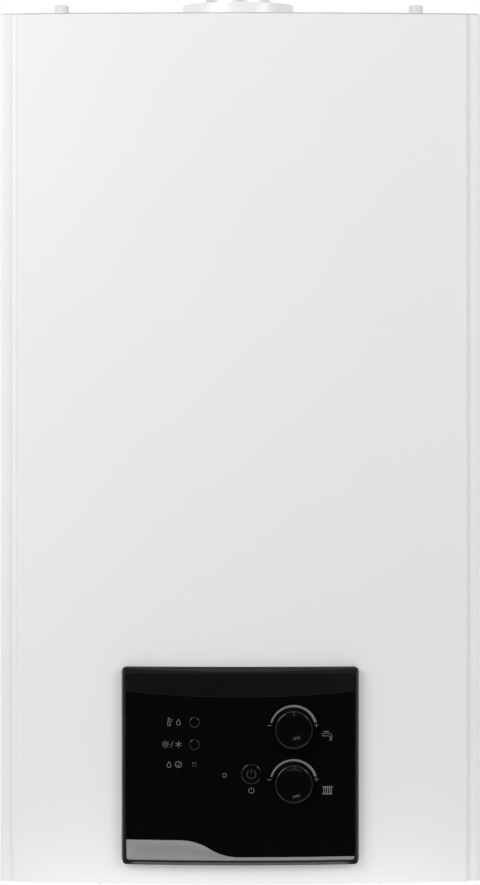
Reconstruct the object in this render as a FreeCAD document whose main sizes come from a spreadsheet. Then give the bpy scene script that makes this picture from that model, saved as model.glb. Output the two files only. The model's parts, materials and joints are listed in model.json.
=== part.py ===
import FreeCAD, Part
import math
import os

import Sketcher

# A wall-hung gas boiler, in millimetres. X runs to the right, Y into the wall and Z up.
# The origin is the middle of the wall bracket's fixing slots, on the wall.

SIZES = {
    # casing: heights count from its lower edge, depths from the wall
    "casing_width": 410,
    "casing_height": 740,
    "casing_depth": 300,
    "casing_sheet": 0.8,
    "casing_rear_gap": 14,
    "casing_corner": 4,
    "casing_flange": 14,
    "strip_width": 10.5,
    "step_height": 2.5,
    "step_run": 2,
    "front_bow": 12,
    "hang_height": 690,
    # wall bracket and the frame that hangs on it
    "bracket_width": 320,
    "bracket_height": 44,
    "bracket_sheet": 2,
    "slot_spacing": 240,
    "slot_diameter": 9,
    "slot_travel": 11,
    "tongue_spacing": 130,
    "tongue_width": 40,
    "tongue_lip": 10,
    "tongue_play": 3,
    "frame_standoff": 12,
    "frame_sheet": 1.2,
    "frame_flange": 100,
    "frame_foot": 30,
    "spacer_diameter": 24,
    "spacer_inset": 55,
    "spacer_rise": 70,
    # sheets that close the frame above and below
    "top_sheet": 1,
    "top_margin": 1,
    "rail_sheet": 1.2,
    "rail_depth": 150,
    "rail_lip": 14,
    # flue connection and the pegs beside it
    "flue_offset": 150,
    "collar_diameter": 102,
    "collar_wall": 3,
    "collar_height": 20,
    "collar_flange": 12,
    "collar_flange_thickness": 2,
    "spigot_diameter": 60,
    "spigot_wall": 1.2,
    "spigot_height": 28,
    "spigot_foot": 6,
    "spigot_foot_thickness": 2,
    "peg_diameter": 13,
    "peg_height": 21,
    "peg_inset": 44,
    "peg_base": 2,
    # room-sealed chamber
    "side_room": 17,
    "chamber_rear": 100,
    "chamber_depth": 172,
    "chamber_sheet": 1,
    "chamber_flange": 12,
    "gasket_thickness": 3,
    "cover_lip": 10,
    "sight_rise": 90,
    "sight_width": 34,
    "sight_height": 26,
    "sight_overlap": 4,
    "sight_thickness": 3,
    # burner, combustion shell, exchanger and hood, one above the other
    "hearth_inset": 68,
    "hearth_depth": 120,
    "hearth_offset": 186,
    "burner_room": 50,
    "burner_height": 35,
    "burner_margin": 6,
    "burner_base": 10,
    "burner_bar": 13,
    "burner_count": 9,
    "burner_ridge": 4,
    "shell_height": 85,
    "shell_sheet": 1,
    "lug_width": 20,
    "lug_height": 40,
    "insulation_thickness": 12,
    "exchanger_height": 50,
    "exchanger_sheet": 1.5,
    "fin_thickness": 1,
    "fin_count": 15,
    "fin_margin": 4,
    "header_overhang": 12,
    "header_depth": 34,
    "hood_height": 55,
    "hood_crown_width": 150,
    "hood_crown_depth": 40,
    "riser_width": 130,
    "riser_depth": 22,
    "riser_height": 180,
    # flue fan
    "flue_room": 26.2,
    "fan_gap": 10,
    "fan_axis_offset": 36,
    "fan_depth": 48,
    "fan_wall": 2,
    "fan_outlet": 52,
    "fan_outlet_height": 82,
    "volute_side": 56,
    "volute_bottom": 60,
    "volute_crown": 54,
    "fan_inlet": 60,
    "wheel_diameter": 86,
    "wheel_gap": 3,
    "wheel_disc": 2,
    "wheel_hub": 22,
    "blade_count": 12,
    "blade_thickness": 1.2,
    "blade_length": 16,
    "fan_shaft": 8,
    "fan_shaft_depth": 20,
    "fan_motor_diameter": 64,
    "fan_motor_sides": 16,
    "fan_motor_length": 50,
    "shaft_clearance": 0.05,
    # gas line
    "manifold_width": 16,
    "manifold_height": 26,
    "manifold_drop": 15,
    "manifold_offset": 112,
    "nozzle_diameter": 6,
    "nozzle_length": 6,
    "gas_pipe_diameter": 16,
    "gas_valve_foot": 60,
    "gas_valve_width": 68,
    "gas_valve_rear": 80,
    "gas_valve_depth": 80,
    "gas_valve_height": 80,
    "gas_outlet_diameter": 24,
    "gas_outlet_height": 10,
    "coil_width": 30,
    "coil_depth": 34,
    "coil_height": 30,
    "coil_spacing": 35,
    "coil_rise": 40,
    # connection tails, left to right, and the valves they carry
    "tail_offset": 95,
    "tail_inset": 10,
    "tail_drop": 30,
    "large_thread": 26.44,
    "small_thread": 20.96,
    "large_bore": 19,
    "small_bore": 14,
    "large_hex": 34,
    "small_hex": 28,
    "hex_height": 12,
    "tail_clearance": 0.5,
    # flow side
    "group_height": 110,
    "flow_body_diameter": 40,
    "flow_overhang": 22,
    "barrel_end": 18,
    "boss_diameter": 30,
    "flow_arm_offset": 150,
    "flow_arm_diameter": 32,
    "arm_overhang": 3,
    "flow_boss_top": 150,
    "port_shift": 5,
    "port_diameter": 18,
    "plate_overhang": 22,
    "plate_rear": 20,
    "plate_depth": 42,
    "plate_height": 76,
    "plate_corner": 20,
    "plate_rise": 72,
    "motor_box_width": 44,
    "motor_box_depth": 42,
    "motor_box_height": 46,
    "valve_diameter": 26,
    "valve_seat": 122,
    "valve_length": 26,
    "cap_diameter": 28,
    "cap_length": 18,
    "cap_sides": 8,
    "cap_pin": 6,
    "cap_pin_length": 12,
    "cap_gap": 0.4,
    # return side
    "return_body_diameter": 36,
    "return_overhang": 15,
    "filling_boss_diameter": 22,
    "filling_boss_foot": 64,
    "filling_diameter": 24,
    "filling_foot": 3,
    "filling_height": 14,
    "filling_stem": 8,
    "filling_stem_seat": 14,
    "vessel_arm_diameter": 20,
    "vessel_arm_end": 46,
    "pump_shift": 20,
    "pump_axis_height": 175,
    "pump_diameter": 80,
    "pump_sides": 16,
    "pump_rear": 80,
    "pump_depth": 85,
    "pump_neck_foot": 130,
    "pump_outlet_top": 232,
    "vent_shift": 35,
    "vent_offset": 112,
    "vent_boss_top": 222,
    "vent_diameter": 26,
    "vent_cap_diameter": 22,
    "vent_height": 40,
    "pump_motor_diameter": 76,
    "pump_motor_length": 62,
    # water pipes and the expansion vessel
    "water_pipe_diameter": 18,
    "pipe_inset": 38,
    "pipe_clearance": 1,
    "vessel_margin": 18,
    "vessel_length": 340,
    "vessel_depth": 78,
    "vessel_height": 500,
    "vessel_corner": 40,
    "vessel_pipe_diameter": 10,
    "vessel_pipe_offset": 66,
    "vessel_boss_diameter": 16,
    # control panel: rises count from the bezel's lower edge
    "bezel_width": 201.6,
    "bezel_height": 166.8,
    "bezel_rise": 18.2,
    "bezel_corner": 4.5,
    "bezel_lean": 3,
    "bezel_side_lean": 1.5,
    "bezel_shoulder": 1.5,
    "bezel_stand": 7.5,
    "panel_bow": 5,
    "rim_side": 3.6,
    "rim_top": 5.2,
    "rim_bottom": 3.2,
    "seat_gap": 0.2,
    "panel_seam": 0.3,
    "fascia_recess": 1,
    "fascia_thickness": 3,
    "header_recess": 0.4,
    "header_edge_rise": 147,
    "header_dip": 4.6,
    "trim_left_rise": 20.6,
    "trim_right_rise": 6.4,
    "trim_wave_start": 51,
    "trim_wave_end": 1.5,
    "housing_margin": 6.5,
    "housing_depth": 66,
    "housing_wall": 2,
    "window_clearance": 1.2,
    "board_margin": 6,
    "board_thickness": 1.6,
    "board_depth": 30,
    "board_post": 8,
    # knobs, buttons and lights
    "knob_inset": 55.7,
    "upper_knob_rise": 115.5,
    "lower_knob_rise": 69.7,
    "knob_diameter": 31.6,
    "knob_height": 8,
    "knob_rim": 1.6,
    "knob_dish": 1.4,
    "knob_gap": 0.4,
    "pointer_width": 1.2,
    "pointer_depth": 0.8,
    "stem_diameter": 6,
    "stem_clearance": 0.05,
    "stem_hole_gap": 1,
    "pot_width": 15,
    "pot_length": 9,
    "button_inset": 61.9,
    "upper_button_rise": 120.8,
    "lower_button_rise": 101.9,
    "button_diameter": 9.3,
    "button_proud": 1.3,
    "button_clearance": 0.35,
    "button_tail": 3,
    "reset_offset": 9.3,
    "reset_rise": 77.2,
    "reset_diameter": 17.3,
    "reset_proud": 1.8,
    "pressure_lens_rise": 84.9,
    "pressure_lens_diameter": 4.7,
    "flame_lens_offset": 13.5,
    "flame_lens_rise": 75.9,
    "flame_lens_diameter": 3.4,
    "lens_proud": 0.3,
    "lens_tail": 4,
    # how far cutting tools run past what they cut
    "overrun": 5,
}

document = FreeCAD.newDocument("wall_hung_boiler")
sheet = document.addObject("Spreadsheet::Sheet", "Sizes")
for row, (alias, number) in enumerate(SIZES.items(), start=1):
    sheet.set(f"A{row}", alias.replace("_", " "))
    sheet.set(f"B{row}", str(number))
    sheet.setAlias(f"B{row}", alias)
document.recompute()


class Size:
    """A length: the expression that ties it to the sheet, and its value at present."""

    def __init__(self, text, value):
        self.text = text
        self.value = value

    def __add__(self, other):
        other = as_size(other)
        return Size(f"({self.text} + {other.text})", self.value + other.value)

    def __sub__(self, other):
        other = as_size(other)
        return Size(f"({self.text} - {other.text})", self.value - other.value)

    def __mul__(self, other):
        other = as_size(other)
        return Size(f"({self.text} * {other.text})", self.value * other.value)

    def __truediv__(self, other):
        other = as_size(other)
        return Size(f"({self.text} / {other.text})", self.value / other.value)

    def __neg__(self):
        return Size(f"(-{self.text})", -self.value)

    def root(self):
        return Size(f"sqrt({self.text})", math.sqrt(self.value))


def as_size(item):
    """A plain number as a size, and a size as it is."""
    return item if isinstance(item, Size) else Size(repr(item), float(item))


class Sheet:
    """The sheet's cells by their aliases."""

    def __getattr__(self, alias):
        return Size(f"Sizes.{alias}", float(sheet.get(alias)))


s = Sheet()
ZERO = as_size(0)
FULL_TURN = 360
PARTS = {}


def bind(thing, prop, size):
    """Tie one property of an object to the sheet."""
    thing.setExpression(prop, size.text)


def place(thing, x=ZERO, y=ZERO, z=ZERO):
    """Tie an object's place to the sheet."""
    for axis, size in zip("xyz", (x, y, z)):
        bind(thing, f"Placement.Base.{axis}", size)
    return thing


def part(label, thing):
    """Name a finished sub-part, which also names its file."""
    thing.Label = label
    PARTS[label] = thing
    return thing


def hold(sketch, geometry, end, x, y):
    """Hold one end of a sketch line at x, y from the sketch's origin."""
    for kind, axis, size in (("DistanceX", -2, x), ("DistanceY", -1, y)):
        if size is ZERO:
            sketch.addConstraint(Sketcher.Constraint("PointOnObject", geometry, end, axis))
        else:
            made = sketch.addConstraint(Sketcher.Constraint(kind, -1, 1, geometry, end, size.value))
            bind(sketch, f"Constraints[{made}]", size)


def draw_circle(sketch, x, y, radius):
    """A circle held at its centre."""
    centre = FreeCAD.Vector(x.value, y.value, 0)
    curve = sketch.addGeometry(Part.Circle(centre, FreeCAD.Vector(0, 0, 1), radius.value), False)
    made = sketch.addConstraint(Sketcher.Constraint("Radius", curve, radius.value))
    bind(sketch, f"Constraints[{made}]", radius)
    hold(sketch, curve, 3, x, y)


def draw_path(sketch, points):
    """Lines and arcs through points: x, y and, where an arc leaves a point, its radius.

    An arc turns left, or right where a fourth entry says so, by less than half a circle.
    """
    ends = []
    first = sketch.GeometryCount
    nexts = points[1:] + points[:1]
    for here, there in zip(points, nexts):
        start = FreeCAD.Vector(here[0].value, here[1].value, 0)
        finish = FreeCAD.Vector(there[0].value, there[1].value, 0)
        if len(here) == 2:
            sketch.addGeometry(Part.LineSegment(start, finish), False)
            ends.append((1, 2))
            continue
        left = len(here) == 3
        radius = here[2].value
        half = (finish - start) * 0.5
        across = FreeCAD.Vector(-half.y, half.x, 0).normalize()
        reach = math.sqrt(max(radius**2 - half.Length**2, 0))
        centre = start + half + across * (reach if left else -reach)
        begin, stop = (start, finish) if left else (finish, start)
        low = math.atan2(begin.y - centre.y, begin.x - centre.x)
        high = math.atan2(stop.y - centre.y, stop.x - centre.x)
        high += math.tau if high < low else 0
        round_line = Part.Circle(centre, FreeCAD.Vector(0, 0, 1), radius)
        sketch.addGeometry(Part.ArcOfCircle(round_line, low, high), False)
        ends.append((1, 2) if left else (2, 1))
    for step, end in enumerate(ends):
        follower = (step + 1) % len(ends)
        joint = (first + step, end[1], first + follower, ends[follower][0])
        sketch.addConstraint(Sketcher.Constraint("Coincident", *joint))
        hold(sketch, first + step, end[0], points[step][0], points[step][1])
        if len(points[step]) > 2:
            radius = points[step][2]
            made = sketch.addConstraint(Sketcher.Constraint("Radius", first + step, radius.value))
            bind(sketch, f"Constraints[{made}]", radius)


def new_body(name):
    return document.addObject("PartDesign::Body", name)


def sketch_in(body, plane, loops, start=ZERO):
    """A sketch on one of a body's own planes, moved along the plane's normal.

    A loop is a list of points, or a circle as its centre's x and y and its radius.
    """
    sketch = body.newObject("Sketcher::SketchObject", f"{body.Name}_outline")
    face = [item for item in body.Origin.OriginFeatures if item.Role == plane][0]
    sketch.AttachmentSupport = [(face, "")]
    sketch.MapMode = "FlatFace"
    bind(sketch, "AttachmentOffset.Base.z", start)
    for loop in loops:
        if isinstance(loop, tuple):
            draw_circle(sketch, *loop)
        else:
            draw_path(sketch, loop)
    return sketch


def pad(body, plane, loops, length, start=ZERO):
    """Raise loops into a solid: up from XY, to the front from XZ, to the right from YZ."""
    feature = body.newObject("PartDesign::Pad", f"{body.Name}_pad")
    feature.Profile = sketch_in(body, plane, loops, start)
    bind(feature, "Length", length)
    return feature


def pocket(body, plane, loops, length, start=ZERO):
    """Cut loops out of a body: down from XY, to the rear from XZ, to the left from YZ."""
    before = body.Shape.Volume if not body.Shape.isNull() else 0
    feature = body.newObject("PartDesign::Pocket", f"{body.Name}_pocket")
    feature.Profile = sketch_in(body, plane, loops, start)
    bind(feature, "Length", length)
    document.recompute()
    if body.Shape.Volume >= before:
        raise RuntimeError(f"a pocket of {body.Name} cuts nothing")
    return feature


def prism(name, plane, loops, length, start=ZERO):
    """A body of one raised outline."""
    body = new_body(name)
    pad(body, plane, loops, length, start)
    document.recompute()
    return body


def turned(name, plane, loop):
    """A body turned about its own upright sketch axis: Z from XZ, Y from XY."""
    body = new_body(name)
    profile = sketch_in(body, plane, [loop])
    feature = body.newObject("PartDesign::Revolution", f"{name}_turn")
    feature.Profile = profile
    feature.ReferenceAxis = (profile, ["V_Axis"])
    feature.Angle = FULL_TURN
    document.recompute()
    return body


def box(name, x, y, z):
    """A box from its lower and upper limits on each axis."""
    thing = document.addObject("Part::Box", name)
    for prop, (low, high) in zip(("Length", "Width", "Height"), (x, y, z)):
        bind(thing, prop, high - low)
    return place(thing, x[0], y[0], z[0])


def upright(name, x, y, z, diameter):
    """A cylinder that stands between two heights."""
    thing = document.addObject("Part::Cylinder", name)
    bind(thing, "Radius", diameter / 2)
    bind(thing, "Height", z[1] - z[0])
    return place(thing, x, y, z[0])


def level(name, x, y, z, diameter):
    """A cylinder that lies along Y between a rear and a front depth."""
    thing = document.addObject("Part::Cylinder", name)
    bind(thing, "Radius", diameter / 2)
    bind(thing, "Height", y[0] - y[1])
    thing.Placement.Rotation = FreeCAD.Rotation(FreeCAD.Vector(1, 0, 0), 90)
    return place(thing, x, y[0], z)


def hex_bar(name, x, y, z, width):
    """A hexagon bar along the one axis that has two limits, by its width across corners."""
    thing = document.addObject("Part::Prism", name)
    thing.Polygon = 6
    bind(thing, "Circumradius", width / 2)
    if isinstance(x, tuple):
        bind(thing, "Height", x[1] - x[0])
        thing.Placement.Rotation = FreeCAD.Rotation(FreeCAD.Vector(0, 1, 0), 90)
        return place(thing, x[0], y, z)
    if isinstance(y, tuple):
        bind(thing, "Height", y[0] - y[1])
        thing.Placement.Rotation = FreeCAD.Rotation(FreeCAD.Vector(1, 0, 0), 90)
        return place(thing, x, y[0], z)
    bind(thing, "Height", z[1] - z[0])
    return place(thing, x, y, z[0])


def barrel(name, x, y, z, width, sides):
    """A prism of many sides along Y, by its width across corners."""
    thing = document.addObject("Part::Prism", name)
    bind(thing, "Polygon", sides)
    bind(thing, "Circumradius", width / 2)
    bind(thing, "Height", y[0] - y[1])
    thing.Placement.Rotation = FreeCAD.Rotation(FreeCAD.Vector(1, 0, 0), 90)
    return place(thing, x, y[0], z)


def fused(name, *things):
    thing = document.addObject("Part::MultiFuse", name)
    thing.Shapes = list(things)
    thing.Refine = True
    return thing


def grouped(name, *things):
    """Separate solids that share a node."""
    thing = document.addObject("Part::Compound", name)
    thing.Links = list(things)
    return thing


def cut(name, base, *tools):
    thing = document.addObject("Part::Cut", name)
    thing.Base = base
    thing.Tool = tools[0] if len(tools) == 1 else fused(f"{name}_tools", *tools)
    return thing


def shared(name, *things):
    thing = document.addObject("Part::MultiCommon", name)
    thing.Shapes = list(things)
    return thing


def rectangle(left, right, bottom, top):
    return [(left, bottom), (right, bottom), (right, top), (left, top)]


def rounded(left, right, bottom, top, radius):
    """A rectangle with round corners."""
    return [
        (left + radius, bottom),
        (right - radius, bottom, radius),
        (right, bottom + radius),
        (right, top - radius, radius),
        (right - radius, top),
        (left + radius, top, radius),
        (left, top - radius),
        (left, bottom + radius, radius),
    ]


def slot(x, y, travel, diameter):
    """A slot along X with round ends, each drawn as two quarter circles."""
    radius = diameter / 2
    half = travel / 2
    return [
        (x - half, y - radius),
        (x + half, y - radius, radius),
        (x + half + radius, y, radius),
        (x + half, y + radius),
        (x - half, y + radius, radius),
        (x - half - radius, y, radius),
    ]


low = -s.hang_height
top = low + s.casing_height
half_width = s.casing_width / 2
front = -s.casing_depth
under_flange = top - s.casing_sheet
under_top = under_flange - s.top_sheet

# What stands inside keeps its distance from the casing's sides.
chamber_half = half_width - s.side_room
pipe_x = chamber_half - s.pipe_inset
tail_pitch = (pipe_x - s.tail_inset) / 2
between_tails = tail_pitch + tail_pitch / 2

# The chamber's contents hang from its top: fan, hood, exchanger, shell and burner.
fan_top = under_top - s.flue_room
fan_z = fan_top - s.fan_outlet_height
hood_top = fan_z - s.volute_bottom - s.fan_gap
exchanger_top = hood_top - s.hood_height
shell_top = exchanger_top - s.exchanger_height
burner_top = shell_top - s.shell_height
burner_foot = burner_top - s.burner_height
chamber_foot = burner_foot - s.burner_room

# The front is bowed in plan: one wide arc between two pressed steps.
bow_half = half_width - s.strip_width - s.step_run
bow_apex = front - s.step_height - s.front_bow
bow_radius = (bow_half * bow_half + s.front_bow * s.front_bow) / (s.front_bow * 2)
bow_centre = bow_apex + bow_radius


def arc_depth(centre, radius, x):
    """The depth of an arc about a point behind the front, at a distance x to the side."""
    return centre - (radius * radius - x * x).root()


def casing_plan(inset, rear):
    """The casing's outline from above, moved in by a sheet's thickness."""
    side = half_width - inset
    strip = front + inset
    corner = s.casing_corner - inset
    slope = (s.step_run * s.step_run + s.step_height * s.step_height).root()
    shift = inset * (slope - s.step_run) / s.step_height
    crease = half_width - s.strip_width - shift
    bow_end = bow_half - shift
    bow_depth = arc_depth(bow_centre, bow_radius - inset, bow_end)
    return [
        (side, rear),
        (-side, rear),
        (-side, strip + corner, corner),
        (corner - side, strip),
        (-crease, strip),
        (-bow_end, bow_depth, bow_radius - inset),
        (bow_end, bow_depth),
        (crease, strip),
        (side - corner, strip, corner),
        (side, strip + corner),
    ]


# Control panel outlines, shared by the casing's window and by everything that lies in it.
bezel_half = s.bezel_width / 2
bezel_foot = low + s.bezel_rise
bezel_top = bezel_foot + s.bezel_height
panel_apex = bow_apex - s.bezel_stand
panel_radius = (bezel_half * bezel_half + s.panel_bow * s.panel_bow) / (s.panel_bow * 2)
panel_centre = panel_apex + panel_radius
fascia_radius = panel_radius - s.fascia_recess
fascia_back = fascia_radius - s.fascia_thickness
fascia_apex = panel_apex + s.fascia_recess
housing_half = bezel_half - s.housing_margin
housing_foot = bezel_foot + s.housing_margin
housing_top = bezel_top - s.housing_margin
housing_rear = fascia_apex + s.housing_depth

casing = new_body("casing_shell")
pad(casing, "XY_Plane", [casing_plan(ZERO, -s.casing_rear_gap)], s.casing_height, low)
document.recompute()
hollow = [casing_plan(s.casing_sheet, s.overrun)]
pocket(casing, "XY_Plane", hollow, s.casing_height - s.casing_sheet * 2, top - s.casing_sheet)
inside = half_width - s.casing_flange
open_ends = [rectangle(-inside, inside, front + s.casing_flange, s.overrun)]
pocket(casing, "XY_Plane", open_ends, s.casing_height + s.overrun * 2, top + s.overrun)
window = [
    rounded(
        -housing_half - s.window_clearance,
        housing_half + s.window_clearance,
        housing_foot - s.window_clearance,
        housing_top + s.window_clearance,
        s.window_clearance,
    )
]
pocket(casing, "XZ_Plane", window, s.casing_depth, -bow_apex + s.overrun)
part("front_casing", casing)

# The bracket carries the boiler on two hooked tongues that pass through the frame.
bracket = new_body("bracket_plate")
plate_half = s.bracket_height / 2
slots = [
    slot(-s.slot_spacing / 2, ZERO, s.slot_travel, s.slot_diameter),
    slot(s.slot_spacing / 2, ZERO, s.slot_travel, s.slot_diameter),
]
plate = rectangle(-s.bracket_width / 2, s.bracket_width / 2, -plate_half, plate_half)
pad(bracket, "XZ_Plane", [plate] + slots, s.bracket_sheet)
document.recompute()
frame_back = -s.frame_standoff
frame_face = frame_back - s.frame_sheet
tongue_under = plate_half - s.bracket_sheet
tongue_end = frame_face - s.tongue_play - s.bracket_sheet
hook = [
    (-s.bracket_sheet, tongue_under),
    (-s.bracket_sheet, plate_half),
    (tongue_end + s.bracket_sheet, plate_half),
    (tongue_end + s.bracket_sheet, plate_half + s.tongue_lip),
    (tongue_end, plate_half + s.tongue_lip),
    (tongue_end, tongue_under),
]
tongues = []
for side in (-1, 1):
    middle = s.tongue_spacing / 2 * side
    name = "left_tongue" if side < 0 else "right_tongue"
    tongues.append(prism(name, "YZ_Plane", [hook], s.tongue_width, middle - s.tongue_width / 2))
part("wall_bracket", fused("bracket", bracket, *tongues))

# Frame: a back sheet with two side flanges that carry the chamber.
frame_half = chamber_half + s.frame_sheet
frame_foot = low + s.frame_foot
frame_front = frame_back - s.frame_flange
channel = [
    (frame_half, frame_back),
    (-frame_half, frame_back),
    (-frame_half, frame_front),
    (-chamber_half, frame_front),
    (-chamber_half, frame_face),
    (chamber_half, frame_face),
    (chamber_half, frame_front),
    (frame_half, frame_front),
]
frame_body = new_body("frame_channel")
pad(frame_body, "XY_Plane", [channel], under_top - frame_foot, frame_foot)
document.recompute()
windows = []
for side in (-1, 1):
    middle = s.tongue_spacing / 2 * side
    half = s.tongue_width / 2 + s.tongue_play
    windows.append(rectangle(middle - half, middle + half, ZERO, plate_half))
pocket(frame_body, "XZ_Plane", windows, s.frame_standoff * 2, s.frame_standoff * 2)
part("back_frame", frame_body)

spacers = []
for side, name in ((-1, "left_spacer"), (1, "right_spacer")):
    spot = (half_width - s.spacer_inset) * side
    spacers.append(hex_bar(name, spot, (ZERO, frame_back), low + s.spacer_rise, s.spacer_diameter))
part("wall_spacers", grouped("spacers", *spacers))

# Top panel under the casing's flange, with the round opening for the flue and its air.
flue_y = -s.flue_offset
air_radius = s.collar_diameter / 2 - s.collar_wall
sheet_half = half_width - s.casing_sheet - s.top_margin
lid_outline = rectangle(-sheet_half, sheet_half, front + s.casing_sheet + s.top_margin, frame_back)
lid = prism("lid", "XY_Plane", [lid_outline, (ZERO, flue_y, air_radius)], s.top_sheet, under_top)
part("top_panel", lid)

collar_out = s.collar_diameter / 2
collar_top = s.casing_sheet + s.collar_height
flange_half = collar_out + s.collar_flange
flange_plan = rectangle(-flange_half, flange_half, flue_y - flange_half, flue_y + flange_half)
collar = new_body("collar")
air_way = (ZERO, flue_y, air_radius)
pad(collar, "XY_Plane", [flange_plan, air_way], s.collar_flange_thickness, under_flange)
pad(collar, "XY_Plane", [(ZERO, flue_y, collar_out), air_way], collar_top, under_flange)
part("flue_collar", collar)

fan_rear = flue_y + s.fan_depth / 2
fan_front = flue_y - s.fan_depth / 2
fan_x = -s.fan_axis_offset
outlet_half = s.fan_outlet / 2
spigot_top = top + s.spigot_height
spigot_out = upright("spigot_out", ZERO, flue_y, (fan_top, spigot_top), s.spigot_diameter)
foot_half = outlet_half + s.spigot_foot
spigot_foot = box(
    "spigot_plate",
    (-foot_half, foot_half),
    (flue_y - foot_half, flue_y + foot_half),
    (fan_top, fan_top + s.spigot_foot_thickness),
)
spigot_bore = upright(
    "spigot_bore",
    ZERO,
    flue_y,
    (fan_top - s.overrun, spigot_top + s.overrun),
    s.spigot_diameter - s.spigot_wall * 2,
)
part("flue_spigot", cut("spigot", fused("spigot_body", spigot_out, spigot_foot), spigot_bore))

peg_foot = under_flange + s.peg_base
peg_top = top + s.peg_height
pegs = []
for side, name in ((-1, "left_peg"), (1, "right_peg")):
    x = (half_width - s.peg_inset) * side
    base_width = s.peg_diameter + s.peg_base * 2
    base = hex_bar(f"{name}_base", x, flue_y, (under_flange, peg_foot), base_width)
    rod = upright(f"{name}_rod", x, flue_y, (peg_foot, peg_top), s.peg_diameter)
    pegs.append(fused(name, base, rod))
part("top_pegs", grouped("pegs", *pegs))

# Connection tails: a hexagon under the rail and a threaded end below it.
tail_y = -s.tail_offset
tail_end = low - s.tail_drop
tail_top = frame_foot
rail_top = frame_foot + s.rail_sheet
TAILS = (
    ("heating_tails", (-2, 2), s.large_thread, s.large_bore, s.large_hex),
    ("water_tails", (-1, 1), s.small_thread, s.small_bore, s.small_hex),
    ("gas_tail", (0,), s.large_thread, s.large_bore, s.large_hex),
)
rail_holes = []
for label, steps, thread, bore, hexagon in TAILS:
    ends = []
    for step in steps:
        x = tail_pitch * step if step else ZERO
        nut_foot = tail_top - s.hex_height
        threaded = upright(f"{label}_thread", x, tail_y, (tail_end, nut_foot), thread)
        corners = hexagon * 2 / Size("sqrt(3)", math.sqrt(3))
        nut = hex_bar(f"{label}_nut", x, tail_y, (nut_foot, tail_top), corners)
        hole_z = (tail_end - s.overrun, tail_top + s.overrun)
        hole = upright(f"{label}_bore", x, tail_y, hole_z, bore)
        ends.append(cut(f"{label}_end", fused(f"{label}_body", threaded, nut), hole))
        reach = s.boss_diameter / 2 + s.tail_clearance
        rail_holes.append(rectangle(x - reach, x + reach, tail_y - reach, tail_y + reach))
    part(label, ends[0] if len(ends) == 1 else grouped(f"{label}_pair", *ends))

# Bottom rail: a tray with a hole for each tail and one for the filling valve's stem.
rail = new_body("rail_tray")
rail_front = -s.rail_depth
tray = [
    (frame_face, frame_foot),
    (frame_face, rail_top),
    (rail_front + s.rail_sheet, rail_top),
    (rail_front + s.rail_sheet, frame_foot + s.rail_lip),
    (rail_front, frame_foot + s.rail_lip),
    (rail_front, frame_foot),
]
pad(rail, "YZ_Plane", [tray], chamber_half * 2, -chamber_half)
document.recompute()
stem_reach = s.filling_stem / 2 + s.tail_clearance
stem_left = between_tails - stem_reach
stem_right = between_tails + stem_reach
rail_holes.append(rectangle(stem_left, stem_right, tail_y - stem_reach, tail_y + stem_reach))
pocket(rail, "XY_Plane", rail_holes, s.rail_lip, rail_top + s.overrun)
part("bottom_rail", rail)

# Chamber: a box open to the front, with holes for the flue and for the pipes in its floor.
chamber_rear = -s.chamber_rear
chamber_front = chamber_rear - s.chamber_depth
pipe_y = -s.flow_arm_offset
manifold_y = -s.manifold_offset
chamber = new_body("chamber_shell")
chamber_plan = rectangle(-chamber_half, chamber_half, chamber_front, chamber_rear)
pad(chamber, "XY_Plane", [chamber_plan], under_top - chamber_foot, chamber_foot)
document.recompute()
room_half = chamber_half - s.chamber_sheet
room_foot = chamber_foot + s.chamber_sheet
room_top = under_top - s.chamber_sheet
room = [rectangle(-room_half, room_half, room_foot, room_top)]
room_depth = s.chamber_depth - s.chamber_sheet * 2
pocket(chamber, "XZ_Plane", room, room_depth, -chamber_front - s.chamber_sheet)
mouth_half = chamber_half - s.chamber_flange
mouth_foot = chamber_foot + s.chamber_flange
mouth_top = under_top - s.chamber_flange
mouth = [rectangle(-mouth_half, mouth_half, mouth_foot, mouth_top)]
pocket(chamber, "XZ_Plane", mouth, s.overrun * 2, -chamber_front + s.overrun)
pocket(chamber, "XY_Plane", [(ZERO, flue_y, air_radius)], s.overrun * 2, under_top + s.overrun)
floor_holes = []
for x, y, diameter in (
    (-pipe_x, pipe_y, s.water_pipe_diameter),
    (pipe_x, pipe_y, s.water_pipe_diameter),
    (ZERO, manifold_y, s.gas_pipe_diameter),
):
    reach = diameter / 2 + s.pipe_clearance
    floor_holes.append(rectangle(x - reach, x + reach, y - reach, y + reach))
pocket(chamber, "XY_Plane", floor_holes, s.overrun * 2, chamber_foot + s.overrun)
part("chamber_box", chamber)

seal_front = chamber_front - s.gasket_thickness
seal_plan = rectangle(-chamber_half, chamber_half, chamber_foot, under_top)
seal = prism("seal", "XZ_Plane", [seal_plan, mouth[0]], s.gasket_thickness, -chamber_front)
part("chamber_gasket", seal)

sight_z = chamber_foot + s.sight_rise
cover_front = seal_front - s.chamber_sheet
pan = new_body("cover_pan")
lip_half = chamber_half + s.chamber_sheet + s.seat_gap
lip_foot = chamber_foot - s.chamber_sheet - s.seat_gap
lip_top = under_top - s.seat_gap
pan_depth = s.chamber_sheet + s.gasket_thickness + s.cover_lip
pan_plan = rectangle(-lip_half, lip_half, lip_foot, lip_top)
pad(pan, "XZ_Plane", [pan_plan], pan_depth, -cover_front - pan_depth)
document.recompute()
pan_room = [
    rectangle(
        -chamber_half - s.seat_gap,
        chamber_half + s.seat_gap,
        chamber_foot - s.seat_gap,
        under_top + s.overrun,
    )
]
lip_depth = pan_depth - s.chamber_sheet
pocket(pan, "XZ_Plane", pan_room, lip_depth + s.overrun, -seal_front)
sight_half = s.sight_width / 2
sight_rise = s.sight_height / 2
sight_hole = [rectangle(-sight_half, sight_half, sight_z - sight_rise, sight_z + sight_rise)]
pocket(pan, "XZ_Plane", sight_hole, s.overrun * 2, -cover_front + s.overrun)
part("chamber_cover", pan)

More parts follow.
